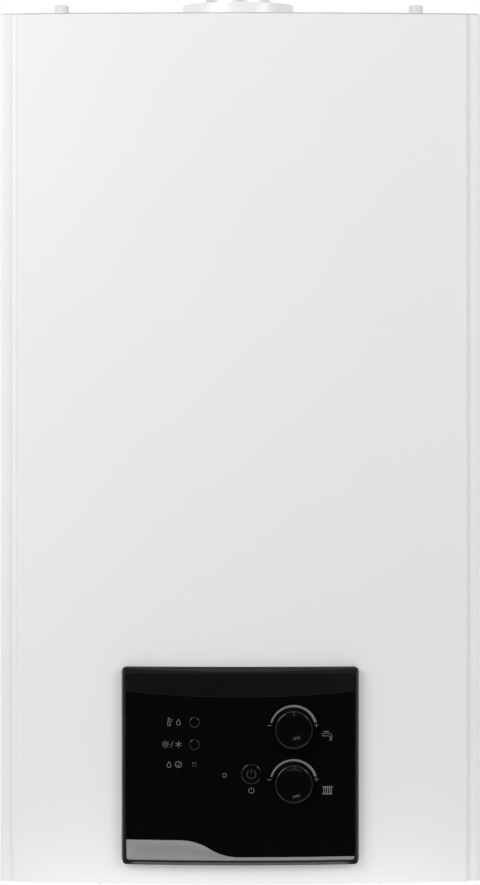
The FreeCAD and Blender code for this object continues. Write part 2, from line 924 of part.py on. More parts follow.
sight_end = cover_front - s.sight_thickness
glass_half = sight_half + s.sight_overlap
glass_rise = sight_rise + s.sight_overlap
glass_z = (sight_z - glass_rise, sight_z + glass_rise)
part("sight_glass", box("sight", (-glass_half, glass_half), (sight_end, cover_front), glass_z))

# Burner bars, combustion shell, exchanger and hood stand on one another.
hearth_y = -s.hearth_offset
hearth_half = chamber_half - s.hearth_inset
hearth_rear = hearth_y + s.hearth_depth / 2
hearth_front = hearth_y - s.hearth_depth / 2

burner_half = hearth_half - s.burner_margin
burner_rear = manifold_y - s.manifold_width / 2 - s.nozzle_length
burner_front = hearth_front + s.burner_margin
burner = new_body("burner_bars")
burner_plan = rectangle(-burner_half, burner_half, burner_front, burner_rear)
pad(burner, "XY_Plane", [burner_plan], s.burner_base, burner_foot)
bar_half = s.burner_bar / 2
bar_pitch = (burner_half * 2 - s.burner_bar) / (s.burner_count - 1)
bar_middle = bar_half - burner_half
bar_shoulder = burner_top - s.burner_ridge
bar = [
    (bar_middle - bar_half, burner_foot),
    (bar_middle + bar_half, burner_foot),
    (bar_middle + bar_half, bar_shoulder),
    (bar_middle + s.burner_ridge / 2, burner_top),
    (bar_middle - s.burner_ridge / 2, burner_top),
    (bar_middle - bar_half, bar_shoulder),
]
bar_pad = pad(burner, "XZ_Plane", [bar], burner_rear - burner_front, -burner_rear)
document.recompute()
row_of_bars = burner.newObject("PartDesign::LinearPattern", "burner_row")
row_of_bars.Originals = [bar_pad]
row_of_bars.Direction = (bar_pad.Profile[0], ["H_Axis"])
bind(row_of_bars, "Length", burner_half * 2 - s.burner_bar)
bind(row_of_bars, "Occurrences", s.burner_count)
burner.Tip = row_of_bars
part("burner", burner)

hearth_box = rectangle(-hearth_half, hearth_half, hearth_front, hearth_rear)
wall_half = hearth_half - s.shell_sheet
wall_front = hearth_front + s.shell_sheet
wall_rear = hearth_rear - s.shell_sheet
shell_loops = [hearth_box, rectangle(-wall_half, wall_half, wall_front, wall_rear)]
shell_tube = prism("shell_tube", "XY_Plane", shell_loops, s.shell_height, burner_top)
lug_z = (burner_top + s.lug_width, burner_top + s.lug_width + s.lug_height)
lug_y = (hearth_rear, chamber_rear - s.chamber_sheet)
left_lug = box("left_lug", (-hearth_half, s.lug_width - hearth_half), lug_y, lug_z)
right_lug = box("right_lug", (hearth_half - s.lug_width, hearth_half), lug_y, lug_z)
part("combustion_shell", fused("shell", shell_tube, left_lug, right_lug))

slab = s.insulation_thickness
panel_z = (burner_top, shell_top)
lining = (wall_front + slab, wall_rear - slab)
part(
    "insulation_panels",
    grouped(
        "insulation",
        box("front_slab", (-wall_half, wall_half), (wall_front, wall_front + slab), panel_z),
        box("rear_slab", (-wall_half, wall_half), (wall_rear - slab, wall_rear), panel_z),
        box("left_slab", (-wall_half, slab - wall_half), lining, panel_z),
        box("right_slab", (wall_half - slab, wall_half), lining, panel_z),
    ),
)

# Exchanger: a jacket with a row of fins across it and a water header on each end.
jacket = new_body("exchanger_jacket")
jacket_half = hearth_half - s.exchanger_sheet
jacket_front = hearth_front + s.exchanger_sheet
jacket_rear = hearth_rear - s.exchanger_sheet
jacket_loops = [hearth_box, rectangle(-jacket_half, jacket_half, jacket_front, jacket_rear)]
pad(jacket, "XY_Plane", jacket_loops, s.exchanger_height, shell_top)
fin_span = jacket_half * 2 - s.fin_margin * 2 - s.fin_thickness
fin_left = s.fin_margin - jacket_half
fin = rectangle(fin_left, fin_left + s.fin_thickness, jacket_front, jacket_rear)
fin_height = s.exchanger_height - s.fin_margin * 2
fin_pad = pad(jacket, "XY_Plane", [fin], fin_height, shell_top + s.fin_margin)
document.recompute()
fins = jacket.newObject("PartDesign::LinearPattern", "fin_row")
fins.Originals = [fin_pad]
fins.Direction = (fin_pad.Profile[0], ["H_Axis"])
bind(fins, "Length", fin_span)
bind(fins, "Occurrences", s.fin_count)
jacket.Tip = fins
document.recompute()
header_reach = pipe_x + s.header_overhang
header_y = (pipe_y - s.header_depth / 2, pipe_y + s.header_depth / 2)
header_z = (shell_top, exchanger_top)
left_header = box("left_header", (-header_reach, -hearth_half), header_y, header_z)
right_header = box("right_header", (hearth_half, header_reach), header_y, header_z)
part("heat_exchanger", fused("exchanger", jacket, left_header, right_header))

# Hood: it gathers the flue gas and leads it up behind the fan.
hood_cone = document.addObject("Part::Wedge", "hood_cone")
crown_half = s.hood_crown_width / 2
crown_front = hearth_rear - s.hood_crown_depth
wedge_sizes = {
    "Xmin": -hearth_half,
    "Xmax": hearth_half,
    "Ymin": exchanger_top,
    "Ymax": hood_top,
    "Zmin": -hearth_rear,
    "Zmax": -hearth_front,
    "X2min": -crown_half,
    "X2max": crown_half,
    "Z2min": -hearth_rear,
    "Z2max": -crown_front,
}
for prop, size in wedge_sizes.items():
    bind(hood_cone, prop, size)
hood_cone.Placement.Rotation = FreeCAD.Rotation(FreeCAD.Vector(1, 0, 0), 90)
riser = box(
    "riser",
    (fan_x - s.riser_width / 2, fan_x + s.riser_width / 2),
    (hearth_rear, hearth_rear + s.riser_depth),
    (exchanger_top, exchanger_top + s.riser_height),
)
part("flue_hood", fused("hood", hood_cone, riser))

# Fan: a spiral housing about the wheel, folded from flat strips, with an upright outlet.
SLANT_SHARE = 1 / math.sqrt(2)


def volute(inset):
    """The spiral outline, moved in by the housing's wall; its reach grows round the wheel."""
    right = outlet_half - inset
    reach = right - fan_x
    side = s.volute_side - inset
    bottom = s.volute_bottom - inset
    crown = s.volute_crown - inset
    upper = (crown + side) / 2 * SLANT_SHARE
    left = (side + bottom) / 2 * SLANT_SHARE
    lower = (bottom + reach) / 2 * SLANT_SHARE
    tongue_x = inset - outlet_half
    mouth = fan_top if inset is ZERO else fan_top + s.overrun
    return [
        (right, fan_z),
        (right, mouth),
        (tongue_x, mouth),
        (tongue_x, fan_z + crown),
        (fan_x - upper, fan_z + upper),
        (fan_x - side, fan_z),
        (fan_x - left, fan_z - left),
        (fan_x, fan_z - bottom),
        (fan_x + lower, fan_z - lower),
    ]


fan_case = new_body("fan_case")
pad(fan_case, "XZ_Plane", [volute(ZERO)], s.fan_depth, -fan_rear)
document.recompute()
fan_room = s.fan_depth - s.fan_wall + s.overrun
pocket(fan_case, "XZ_Plane", [volute(s.fan_wall)], fan_room, -fan_front + s.overrun)
inlet = [(fan_x, fan_z, s.fan_inlet / 2)]
pocket(fan_case, "XZ_Plane", inlet, s.fan_depth + s.overrun * 2, -fan_front + s.overrun)
part("fan_housing", fan_case)

# Fan motor on the plate that closes the housing; its bore carries the wheel's shaft.
plate_front = fan_front - s.fan_wall
motor_end = plate_front - s.fan_motor_length
motor_plate = box(
    "motor_plate",
    (fan_x - s.volute_side, outlet_half),
    (plate_front, fan_front),
    (fan_z - s.volute_bottom, fan_top),
)
motor_y = (plate_front, motor_end)
motor_can = barrel("motor_can", fan_x, motor_y, fan_z, s.fan_motor_diameter, s.fan_motor_sides)
shaft_bore = level(
    "shaft_bore",
    fan_x,
    (fan_front + s.overrun, fan_front - s.fan_shaft_depth - s.overrun),
    fan_z,
    s.fan_shaft + s.shaft_clearance * 2,
)
part("fan_motor", cut("motor", fused("motor_body", motor_plate, motor_can), shaft_bore))

wheel_rear = fan_rear - s.fan_wall - s.wheel_gap
wheel_front = fan_front + s.wheel_gap
wheel = new_body("wheel")
wheel_radius = s.wheel_diameter / 2
disc = [(ZERO, ZERO, wheel_radius)]
pad(wheel, "XZ_Plane", disc, s.wheel_disc, -wheel_front - s.wheel_disc)
hub = [(ZERO, ZERO, s.wheel_hub / 2)]
hub_length = wheel_rear - wheel_front
pad(wheel, "XZ_Plane", hub, hub_length / 2, -wheel_front - hub_length / 2)
shaft = [(ZERO, ZERO, s.fan_shaft / 2)]
shaft_length = wheel_rear - fan_front + s.fan_shaft_depth
pad(wheel, "XZ_Plane", shaft, shaft_length - hub_length / 2, -wheel_front - hub_length / 2)
blade_in = wheel_radius - s.blade_length
blade_half = s.blade_thickness / 2
blade = [rectangle(blade_in, wheel_radius - blade_half, -blade_half, blade_half)]
blade_pad = pad(wheel, "XZ_Plane", blade, hub_length, -wheel_rear)
document.recompute()
blades = wheel.newObject("PartDesign::PolarPattern", "blade_ring")
blades.Originals = [blade_pad]
blades.Axis = (blade_pad.Profile[0], ["N_Axis"])
blades.Angle = FULL_TURN
bind(blades, "Occurrences", s.blade_count)
wheel.Tip = blades
part("fan_impeller", place(wheel, fan_x, ZERO, fan_z))

# Gas line: tail, valve with two coils, pipe, and the manifold whose nozzles face the bars.
valve_rear = -s.gas_valve_rear
valve_front = valve_rear - s.gas_valve_depth
valve_foot = low + s.gas_valve_foot
valve_top = valve_foot + s.gas_valve_height
valve_half = s.gas_valve_width / 2
gas_block = box(
    "gas_block", (-valve_half, valve_half), (valve_front, valve_rear), (valve_foot, valve_top)
)
gas_y = manifold_y
gas_outlet_top = valve_top + s.gas_outlet_height
gas_boss = hex_bar("gas_boss", ZERO, gas_y, (valve_top, gas_outlet_top), s.gas_outlet_diameter)
gas_inlet = hex_bar("gas_inlet", ZERO, tail_y, (tail_top, valve_foot), s.boss_diameter)
part("gas_valve", fused("gas_body", gas_inlet, gas_block, gas_boss))

coils = []
for side, name in ((-1, "left_coil"), (1, "right_coil")):
    middle = s.coil_spacing / 2 * side
    sides = (middle - s.coil_width / 2, middle + s.coil_width / 2)
    coil_foot = valve_foot + s.coil_rise
    coil_z = (coil_foot, coil_foot + s.coil_height)
    coils.append(box(name, sides, (valve_front - s.coil_depth, valve_front), coil_z))
part("gas_valve_coils", grouped("coils", *coils))

manifold_foot = burner_foot - s.manifold_drop
manifold_top = manifold_foot + s.manifold_height
manifold_half = s.manifold_width / 2
manifold_bar = box(
    "manifold_bar",
    (-burner_half, burner_half),
    (manifold_y - manifold_half, manifold_y + manifold_half),
    (manifold_foot, manifold_top),
)
nozzle_z = burner_foot + s.burner_base / 2
nozzle_y = (manifold_y - manifold_half, manifold_y - manifold_half - s.nozzle_length)
nozzles = []
for step in range(int(s.burner_count.value)):
    x = bar_middle + bar_pitch * step
    nozzles.append(hex_bar("nozzle", x, nozzle_y, nozzle_z, s.nozzle_diameter))
part("gas_manifold", fused("manifold", manifold_bar, *nozzles))

gas_line = upright("gas_line", ZERO, gas_y, (gas_outlet_top, manifold_foot), s.gas_pipe_diameter)
part("gas_pipe", gas_line)

# Water side, left: the flow group with its diverter motor and safety valve.
group_z = low + s.group_height
arm_front = pipe_y - s.boss_diameter / 2 - s.arm_overhang
flow_boss_top = low + s.flow_boss_top
plate_front_y = -s.plate_rear - s.plate_depth
flow_x = -tail_pitch * 2
flow_pieces = [
    hex_bar(
        "flow_barrel",
        (-pipe_x - s.flow_overhang, s.barrel_end - tail_pitch),
        tail_y,
        group_z,
        s.flow_body_diameter,
    ),
    hex_bar("flow_boss", flow_x, tail_y, (tail_top, group_z), s.boss_diameter),
    hex_bar("hot_boss", -tail_pitch, tail_y, (tail_top, group_z), s.boss_diameter),
    hex_bar("flow_arm", -pipe_x, (tail_y, arm_front), group_z, s.flow_arm_diameter),
    hex_bar("flow_neck", -pipe_x, pipe_y, (group_z, flow_boss_top), s.boss_diameter),
    hex_bar("flow_port", -tail_pitch - s.port_shift, (plate_front_y, tail_y), group_z, s.port_diameter),
    hex_bar("valve_boss", -between_tails, (tail_y, -s.valve_seat), group_z, s.valve_diameter),
]
part("flow_group", fused("flow_casting", *flow_pieces))

motor_half = s.motor_box_width / 2
diverter = box(
    "diverter",
    (-pipe_x - motor_half, motor_half - pipe_x),
    (arm_front - s.motor_box_depth, arm_front),
    (group_z - s.motor_box_height / 2, group_z + s.motor_box_height / 2),
)
part("diverter_motor", diverter)

valve_end = -s.valve_seat - s.valve_length
valve_can = hex_bar("valve_can", -between_tails, (-s.valve_seat, valve_end), group_z, s.valve_diameter)
valve_pin = level(
    "valve_pin", -between_tails, (valve_end, valve_end - s.cap_pin_length), group_z, s.cap_pin
)
part("safety_valve", fused("valve_body", valve_can, valve_pin))

cap_rear = valve_end - s.cap_gap
cap_y = (cap_rear, cap_rear - s.cap_length)
cap = barrel("cap_grip", -between_tails, cap_y, group_z, s.cap_diameter, s.cap_sides)
cap_bore_y = (valve_end + s.overrun, valve_end - s.cap_pin_length - s.cap_gap)
cap_bore_width = s.cap_pin + s.shaft_clearance * 2
cap_bore = level("cap_bore", -between_tails, cap_bore_y, group_z, cap_bore_width)
part("safety_valve_cap", cut("cap", cap, cap_bore))

plate_foot = low + s.plate_rise
plate_half_width = tail_pitch + s.plate_overhang
plate_outline = rounded(
    -plate_half_width,
    plate_half_width,
    plate_foot,
    plate_foot + s.plate_height,
    s.plate_corner,
)
plates = prism("plates", "XZ_Plane", [plate_outline], s.plate_depth, s.plate_rear)
part("plate_exchanger", plates)

# Water side, right: the return group, the pump on it and the filling valve below it.
return_x = tail_pitch * 2
neck_foot = low + s.pump_neck_foot
filling_foot = low + s.filling_boss_foot
arm_end = -s.vessel_arm_end
vessel_pipe_y = -s.vessel_pipe_offset
vessel_arm_top = group_z + s.vessel_arm_diameter
return_pieces = [
    hex_bar(
        "return_barrel",
        (tail_pitch - s.barrel_end, pipe_x + s.return_overhang),
        tail_y,
        group_z,
        s.return_body_diameter,
    ),
    hex_bar("return_boss", return_x, tail_y, (tail_top, neck_foot), s.boss_diameter),
    hex_bar("cold_boss", tail_pitch, tail_y, (tail_top, group_z), s.boss_diameter),
    hex_bar("return_port", tail_pitch + s.port_shift, (plate_front_y, tail_y), group_z, s.port_diameter),
    hex_bar("vessel_arm", between_tails, (arm_end, tail_y), group_z, s.vessel_arm_diameter),
    hex_bar(
        "vessel_boss",
        between_tails,
        vessel_pipe_y,
        (group_z, vessel_arm_top),
        s.vessel_boss_diameter,
    ),
    hex_bar(
        "filling_boss",
        between_tails,
        tail_y,
        (filling_foot, group_z),
        s.filling_boss_diameter,
    ),
]
stem_top = filling_foot + s.filling_stem_seat
filling_bore = upright(
    "filling_bore",
    between_tails,
    tail_y,
    (filling_foot - s.overrun, stem_top + s.cap_gap),
    s.filling_stem + s.shaft_clearance * 2,
)
part("return_group", cut("return_casting", fused("return_body", *return_pieces), filling_bore))

grip_foot = low + s.filling_foot
grip_top = grip_foot + s.filling_height
grip = document.addObject("Part::Prism", "filling_grip")
bind(grip, "Polygon", s.cap_sides)
bind(grip, "Circumradius", s.filling_diameter / 2)
bind(grip, "Height", s.filling_height)
place(grip, between_tails, tail_y, grip_foot)
stem_z = (grip_top, stem_top)
filling_stem = upright("filling_stem", between_tails, tail_y, stem_z, s.filling_stem)
part("filling_knob", fused("filling", grip, filling_stem))

pump_x = pipe_x - s.pump_shift
vent_x = pipe_x - s.vent_shift
pump_z = low + s.pump_axis_height
pump_rear = -s.pump_rear
pump_front = pump_rear - s.pump_depth
vent_boss_top = low + s.vent_boss_top
pump_outlet_top = low + s.pump_outlet_top
pump_pieces = [
    barrel("pump_drum", pump_x, (pump_rear, pump_front), pump_z, s.pump_diameter, s.pump_sides),
    hex_bar("pump_neck", return_x, tail_y, (neck_foot, pump_z), s.boss_diameter),
    hex_bar("pump_outlet", pipe_x, pipe_y, (pump_z, pump_outlet_top), s.boss_diameter),
    hex_bar("vent_boss", vent_x, -s.vent_offset, (pump_z, vent_boss_top), s.vent_diameter),
]
part("pump_body", fused("pump_casting", *pump_pieces))

vent_z = (vent_boss_top, vent_boss_top + s.vent_height)
vent = hex_bar("vent", vent_x, -s.vent_offset, vent_z, s.vent_cap_diameter)
part("air_vent", vent)

motor_front = pump_front - s.pump_motor_length
motor_width = s.pump_motor_diameter
pump_can = barrel("pump_can", pump_x, (pump_front, motor_front), pump_z, motor_width, s.pump_sides)
part("pump_motor", pump_can)

# Pipes from the two groups up to the exchanger's headers.
for label, side, foot in (("flow_pipe", -1, flow_boss_top), ("return_pipe", 1, pump_outlet_top)):
    x = pipe_x * side
    part(label, upright(f"{label}_rod", x, pipe_y, (foot, shell_top), s.water_pipe_diameter))

# Expansion vessel: a flat drum against the frame.
vessel_z = low + s.vessel_height
vessel_half = chamber_half - s.vessel_margin
vessel_foot = vessel_z - s.vessel_length / 2
vessel_top = vessel_z + s.vessel_length / 2
vessel_loop = rounded(-vessel_half, vessel_half, vessel_foot, vessel_top, s.vessel_corner)
part(
    "expansion_vessel",
    prism("vessel_drum", "XZ_Plane", [vessel_loop], s.vessel_depth, -frame_face),
)

vessel_line = upright(
    "vessel_line",
    between_tails,
    vessel_pipe_y,
    (vessel_arm_top, vessel_foot),
    s.vessel_pipe_diameter,
)
part("vessel_pipe", vessel_line)

# Control panel: every plate is one bowed slab, cut to its own outline seen from the front.


def bowed_slab(name, outer, inner, half, foot, height, lean=ZERO):
    """A slab between two arcs in plan: outer and inner are each a centre and a radius.

    Its sides lean in towards the front.
    """
    front_half = half - lean
    front_end = arc_depth(outer[0], outer[1], front_half)
    rear_end = arc_depth(inner[0], inner[1], half)
    plan = [
        (-front_half, front_end, outer[1]),
        (front_half, front_end),
        (half, rear_end, inner[1], "right"),
        (-half, rear_end),
    ]
    return prism(name, "XY_Plane", [plan], height, foot)


def front_prism(name, outline):
    """A deep prism of an outline seen from the front, right through the control panel."""
    start = -bow_apex - s.bezel_stand - s.overrun
    return prism(name, "XZ_Plane", [outline], s.bezel_stand * 2 + s.overrun * 2, start)


bezel_slab = bowed_slab(
    "bezel_slab",
    (panel_centre, panel_radius),
    (bow_centre, bow_radius + s.seat_gap),
    bezel_half,
    bezel_foot,
    s.bezel_height,
    s.bezel_side_lean,
)
bezel_plan = rounded(-bezel_half, bezel_half, bezel_foot, bezel_top, s.bezel_corner)
bezel_block = front_prism("bezel_block", bezel_plan)
bezel_rear = bow_apex + s.front_bow
bezel_section = [
    (bezel_rear, bezel_foot),
    (bezel_rear, bezel_top),
    (bow_apex - s.bezel_shoulder, bezel_top),
    (panel_apex - s.seat_gap, bezel_top - s.bezel_lean),
    (panel_apex - s.seat_gap, bezel_foot),
]
bezel_roof = prism("bezel_roof", "YZ_Plane", [bezel_section], s.bezel_width, -bezel_half)
opening_half = bezel_half - s.rim_side
opening_foot = bezel_foot + s.rim_bottom
opening_top = bezel_top - s.rim_top
opening = rounded(-opening_half, opening_half, opening_foot, opening_top, s.bezel_corner / 2)
bezel_window = front_prism("bezel_window", opening)
bezel_solid = shared("bezel_solid", bezel_slab, bezel_block, bezel_roof)
part("control_bezel", cut("bezel", bezel_solid, bezel_window))

inner_half = opening_half - s.panel_seam
inner_foot = opening_foot + s.panel_seam
inner_top = opening_top - s.panel_seam
seam_edge = bezel_foot + s.header_edge_rise
seam_radius = (inner_half * inner_half + s.header_dip * s.header_dip) / (s.header_dip * 2)
wave_left = bezel_foot + s.trim_left_rise
wave_right = bezel_foot + s.trim_right_rise
wave_start = -s.trim_wave_start
wave_end = -s.trim_wave_end
wave_drop = (wave_left - wave_right) / 2
wave_run = (wave_end - wave_start) / 2
wave_radius = (wave_run * wave_run + wave_drop * wave_drop) / (wave_drop * 2)
gap = s.panel_seam
inner_corner = s.bezel_corner / 2

header_outline = [
    (-inner_half, seam_edge, seam_radius),
    (inner_half, seam_edge),
    (inner_half, inner_top - inner_corner, inner_corner),
    (inner_half - inner_corner, inner_top),
    (inner_corner - inner_half, inner_top, inner_corner),
    (-inner_half, inner_top - inner_corner),
]
fascia_outline = [
    (-inner_half, wave_left + gap),
    (wave_start, wave_left + gap, wave_radius + gap, "right"),
    (wave_start + wave_run, wave_left - wave_drop + gap, wave_radius - gap),
    (wave_end, wave_right + gap),
    (inner_half, wave_right + gap),
    (inner_half, seam_edge - gap, seam_radius, "right"),
    (-inner_half, seam_edge - gap),
]
trim_outline = [
    (inner_corner - inner_half, inner_foot),
    (inner_half - inner_corner, inner_foot, inner_corner),
    (inner_half, inner_foot + inner_corner),
    (inner_half, wave_right),
    (wave_end, wave_right, wave_radius, "right"),
    (wave_start + wave_run, wave_left - wave_drop, wave_radius),
    (wave_start, wave_left),
    (-inner_half, wave_left),
    (-inner_half, inner_foot + inner_corner, inner_corner),
]


def panel_plate(label, outline, recess, *holes):
    """One plate of the panel: its front lies a recess behind the bezel's."""
    outer = (panel_centre, panel_radius - recess)
    inner = (panel_centre, fascia_back)
    slab = bowed_slab(f"{label}_slab", outer, inner, inner_half, bezel_foot, s.bezel_height)
    piece = shared(f"{label}_plate", slab, front_prism(f"{label}_front", outline))
    return part(label, cut(f"{label}_drilled", piece, *holes) if holes else piece)


knob_x = bezel_half - s.knob_inset
upper_knob_z = bezel_foot + s.upper_knob_rise
lower_knob_z = bezel_foot + s.lower_knob_rise
button_x = s.button_inset - bezel_half
upper_button_z = bezel_foot + s.upper_button_rise
lower_button_z = bezel_foot + s.lower_button_rise
reset_z = bezel_foot + s.reset_rise
pressure_z = bezel_foot + s.pressure_lens_rise
flame_x = -s.flame_lens_offset
flame_z = bezel_foot + s.flame_lens_rise
through = (fascia_apex + s.panel_bow + s.overrun * 2, fascia_apex - s.overrun)
stem_half = s.stem_diameter / 2 + s.stem_hole_gap


def stem_window(name, z):
    """The square hole behind a knob that its stem passes through."""
    sides = (knob_x - stem_half, knob_x + stem_half)
    return box(name, sides, (through[1], through[0]), (z - stem_half, z + stem_half))


button_hole = s.button_diameter + s.button_clearance * 2
reset_hole = s.reset_diameter + s.button_clearance * 2
drilled = [
    stem_window("upper_stem_hole", upper_knob_z),
    stem_window("lower_stem_hole", lower_knob_z),
    level("upper_button_hole", button_x, through, upper_button_z, button_hole),
    level("lower_button_hole", button_x, through, lower_button_z, button_hole),
    level("reset_hole", s.reset_offset, through, reset_z, reset_hole),
    level("pressure_hole", button_x, through, pressure_z, s.pressure_lens_diameter),
    level("flame_hole", flame_x, through, flame_z, s.flame_lens_diameter),
]
panel_plate("control_fascia", fascia_outline, s.fascia_recess, *drilled)
panel_plate("panel_header", header_outline, s.header_recess)
panel_plate("silver_trim", trim_outline, s.fascia_recess)

# Housing behind the panel: a tray whose open front edge follows the plates' backs.
housing_slope = arc_depth(panel_centre, fascia_back, housing_half)
housing_plan = [
    (-housing_half, housing_slope, fascia_back),
    (housing_half, housing_slope),
    (housing_half, housing_rear),
    (-housing_half, housing_rear),
]
tray_body = new_body("housing_tray")
pad(tray_body, "XY_Plane", [housing_plan], housing_top - housing_foot, housing_foot)
document.recompute()
tray_half = housing_half - s.housing_wall
tray_foot = housing_foot + s.housing_wall
tray_top = housing_top - s.housing_wall
tray_room = [rectangle(-tray_half, tray_half, tray_foot, tray_top)]
tray_rear = housing_rear - s.housing_wall
tray_start = -fascia_apex + s.overrun
pocket(tray_body, "XZ_Plane", tray_room, tray_rear - fascia_apex + s.overrun, tray_start)
part("control_housing", tray_body)

# Circuit board on four posts, with the two rotary controls that take the knobs' stems.
board_front = fascia_apex + s.board_depth
board_back = board_front + s.board_thickness
board_half = tray_half - s.board_margin
board_foot = tray_foot + s.board_margin
board_top = tray_top - s.board_margin
board = [
    box("board_sheet", (-board_half, board_half), (board_front, board_back), (board_foot, board_top))
]
post = s.board_post
for side in (-1, 1):
    for z in (board_foot + post, board_top - post):
        x = (board_half - post) * side
        sides = (x - post / 2, x + post / 2)
        board.append(box("board_post", sides, (board_back, tray_rear), (z - post / 2, z + post / 2)))
part("circuit_board", fused("board", *board))

pot_front = board_front - s.pot_length
stem_seat = s.stem_diameter + s.stem_clearance * 2
pots = []
for name, z in (("upper_pot", upper_knob_z), ("lower_pot", lower_knob_z)):
    half = s.pot_width / 2
    sides = (knob_x - half, knob_x + half)
    can = box(f"{name}_can", sides, (pot_front, board_front), (z - half, z + half))
    seat = level(f"{name}_seat", knob_x, (board_front + s.overrun, pot_front - s.overrun), z, stem_seat)
    pots.append(cut(name, can, seat))
part("knob_potentiometers", grouped("pots", *pots))

# Knobs: turned from one profile with a sunk face; a notch in the rim is the pointer.
knob_back = fascia_apex - s.knob_gap
knob_radius = s.knob_diameter / 2
stem_radius = s.stem_diameter / 2
stem_end = board_front - s.cap_gap - knob_back
face_edge = knob_radius - s.knob_rim
knob_profile = [
    (ZERO, stem_end),
    (ZERO, s.knob_dish - s.knob_height),
    (face_edge, s.knob_dish - s.knob_height),
    (face_edge, -s.knob_height),
    (knob_radius, -s.knob_height),
    (knob_radius, ZERO),
    (stem_radius, ZERO),
    (stem_radius, stem_end),
]
for label, z in (("hot_water_knob", upper_knob_z), ("heating_knob", lower_knob_z)):
    knob = turned(f"{label}_turned", "XY_Plane", knob_profile)
    half = s.pointer_width / 2
    groove = [rectangle(-half, half, face_edge - s.knob_rim, knob_radius + s.overrun)]
    pocket(knob, "XZ_Plane", groove, s.pointer_depth + s.overrun, s.knob_height + s.overrun)
    part(label, place(knob, knob_x, knob_back, z))

# Buttons slide in the fascia's holes; each runs back past the plate it slides in.


def plate_front_at(x):
    """The fascia's front surface at a distance from the middle."""
    return arc_depth(panel_centre, fascia_radius, x)


def button(label, x, z, diameter, proud):
    """A push button whose face stands proud of the plate."""
    back = plate_front_at(x) + s.fascia_thickness + s.button_tail
    return level(label, x, (back, plate_front_at(x) - proud), z, diameter)


small = s.button_diameter
part("eco_button", button("eco", button_x, upper_button_z, small, s.button_proud))
part("season_button", button("season", button_x, lower_button_z, small, s.button_proud))
large = s.reset_diameter
part("reset_button", button("reset", s.reset_offset, reset_z, large, s.reset_proud))

for label, x, z, diameter in (
    ("pressure_lens", button_x, pressure_z, s.pressure_lens_diameter),
    ("flame_lens", flame_x, flame_z, s.flame_lens_diameter),
):
    face = plate_front_at(x) - s.lens_proud
    tail = face + s.fascia_thickness + s.lens_tail
    part(label, level(f"{label}_rod", x, (tail, face), z, diameter))

document.recompute()
for thing in document.Objects:
    if "Invalid" in thing.State or "Error" in thing.State:
        raise RuntimeError(f"{thing.Label} failed: {thing.State}")
for label, thing in PARTS.items():
    if thing.Shape.isNull() or not thing.Shape.isValid():
        raise RuntimeError(f"{label} has no valid shape")

os.makedirs("parts", exist_ok=True)
for label, thing in PARTS.items():
    thing.Shape.exportStep(f"parts/{label}.step")
    size = thing.Shape.BoundBox
    solids = len(thing.Shape.Solids)
    print(f"{label}: {solids} solids, {size.XLength:.1f} x {size.YLength:.1f} x {size.ZLength:.1f}")
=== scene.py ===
# %% [markdown]
# A wall-hung gas boiler: a bowed white casing, a black control panel low on its front, a flue
# collar on its top and pipe tails under it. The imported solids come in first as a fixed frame, so
# every later cell only adds finishes and thin surfaces to pieces that already have their size.

# %% The frame
import json
import math

import bpy
import mathutils
import numpy as np
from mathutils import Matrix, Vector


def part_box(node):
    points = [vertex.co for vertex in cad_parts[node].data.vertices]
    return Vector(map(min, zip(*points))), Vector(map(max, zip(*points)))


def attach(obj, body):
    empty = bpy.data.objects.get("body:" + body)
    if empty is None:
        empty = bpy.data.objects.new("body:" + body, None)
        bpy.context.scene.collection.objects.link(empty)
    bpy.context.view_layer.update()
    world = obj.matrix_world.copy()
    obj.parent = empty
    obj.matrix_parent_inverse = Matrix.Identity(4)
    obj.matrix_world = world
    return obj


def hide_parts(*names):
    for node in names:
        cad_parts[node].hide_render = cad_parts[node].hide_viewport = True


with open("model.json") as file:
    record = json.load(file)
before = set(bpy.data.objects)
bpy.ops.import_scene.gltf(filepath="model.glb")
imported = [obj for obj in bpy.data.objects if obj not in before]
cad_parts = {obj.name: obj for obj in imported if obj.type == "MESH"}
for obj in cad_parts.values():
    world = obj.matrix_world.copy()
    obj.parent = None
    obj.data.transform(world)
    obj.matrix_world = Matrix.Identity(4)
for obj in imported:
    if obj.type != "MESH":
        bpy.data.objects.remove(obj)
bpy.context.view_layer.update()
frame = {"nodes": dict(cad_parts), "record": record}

nodes = frame["nodes"]

# %% [markdown]
# The photograph looks straight at the casing from a little above its middle. Sloping the camera
# would make the sides converge, so it stays level and its shift moves the picture down instead.
# The flue collar, which stands further back, sits a trifle to the left of the front's middle, so
# the camera stands a trifle to the left too. The focal length follows from the width of the
# casing in the picture and a distance of about 2.3 m.

# %% Camera
IMAGE_HEIGHT = 885
FOCAL_PIXELS = 2693
HORIZON_ABOVE_MIDDLE = 192.5
AXIS_LEFT_OF_MIDDLE = 20.9
SENSOR_HEIGHT = 36
CAMERA_PLACE = (-0.018, -2.6, -0.1513)
camera_data = bpy.data.cameras.new("camera")
camera_data.sensor_fit = "VERTICAL"
camera_data.sensor_height = SENSOR_HEIGHT
camera_data.lens = FOCAL_PIXELS / IMAGE_HEIGHT * SENSOR_HEIGHT
camera_data.shift_x = AXIS_LEFT_OF_MIDDLE / IMAGE_HEIGHT
camera_data.shift_y = -HORIZON_ABOVE_MIDDLE / IMAGE_HEIGHT
camera = bpy.data.objects.new("camera", camera_data)
camera.location = CAMERA_PLACE
camera.rotation_euler = (math.radians(90), 0, 0)
scene = bpy.context.scene
scene.collection.objects.link(camera)
scene.camera = camera
scene.view_settings.view_transform = "Standard"
print("lens", round(camera_data.lens, 1), "mm")

# %% [markdown]
# Shaders are graphs of nodes. Written as Python expressions they stay readable: a small class
# wraps one output socket, and + and * on it add Math nodes. Every other kind of node comes from
# one method that sets a node's settings first and then its values and links.

# %% Shader expressions


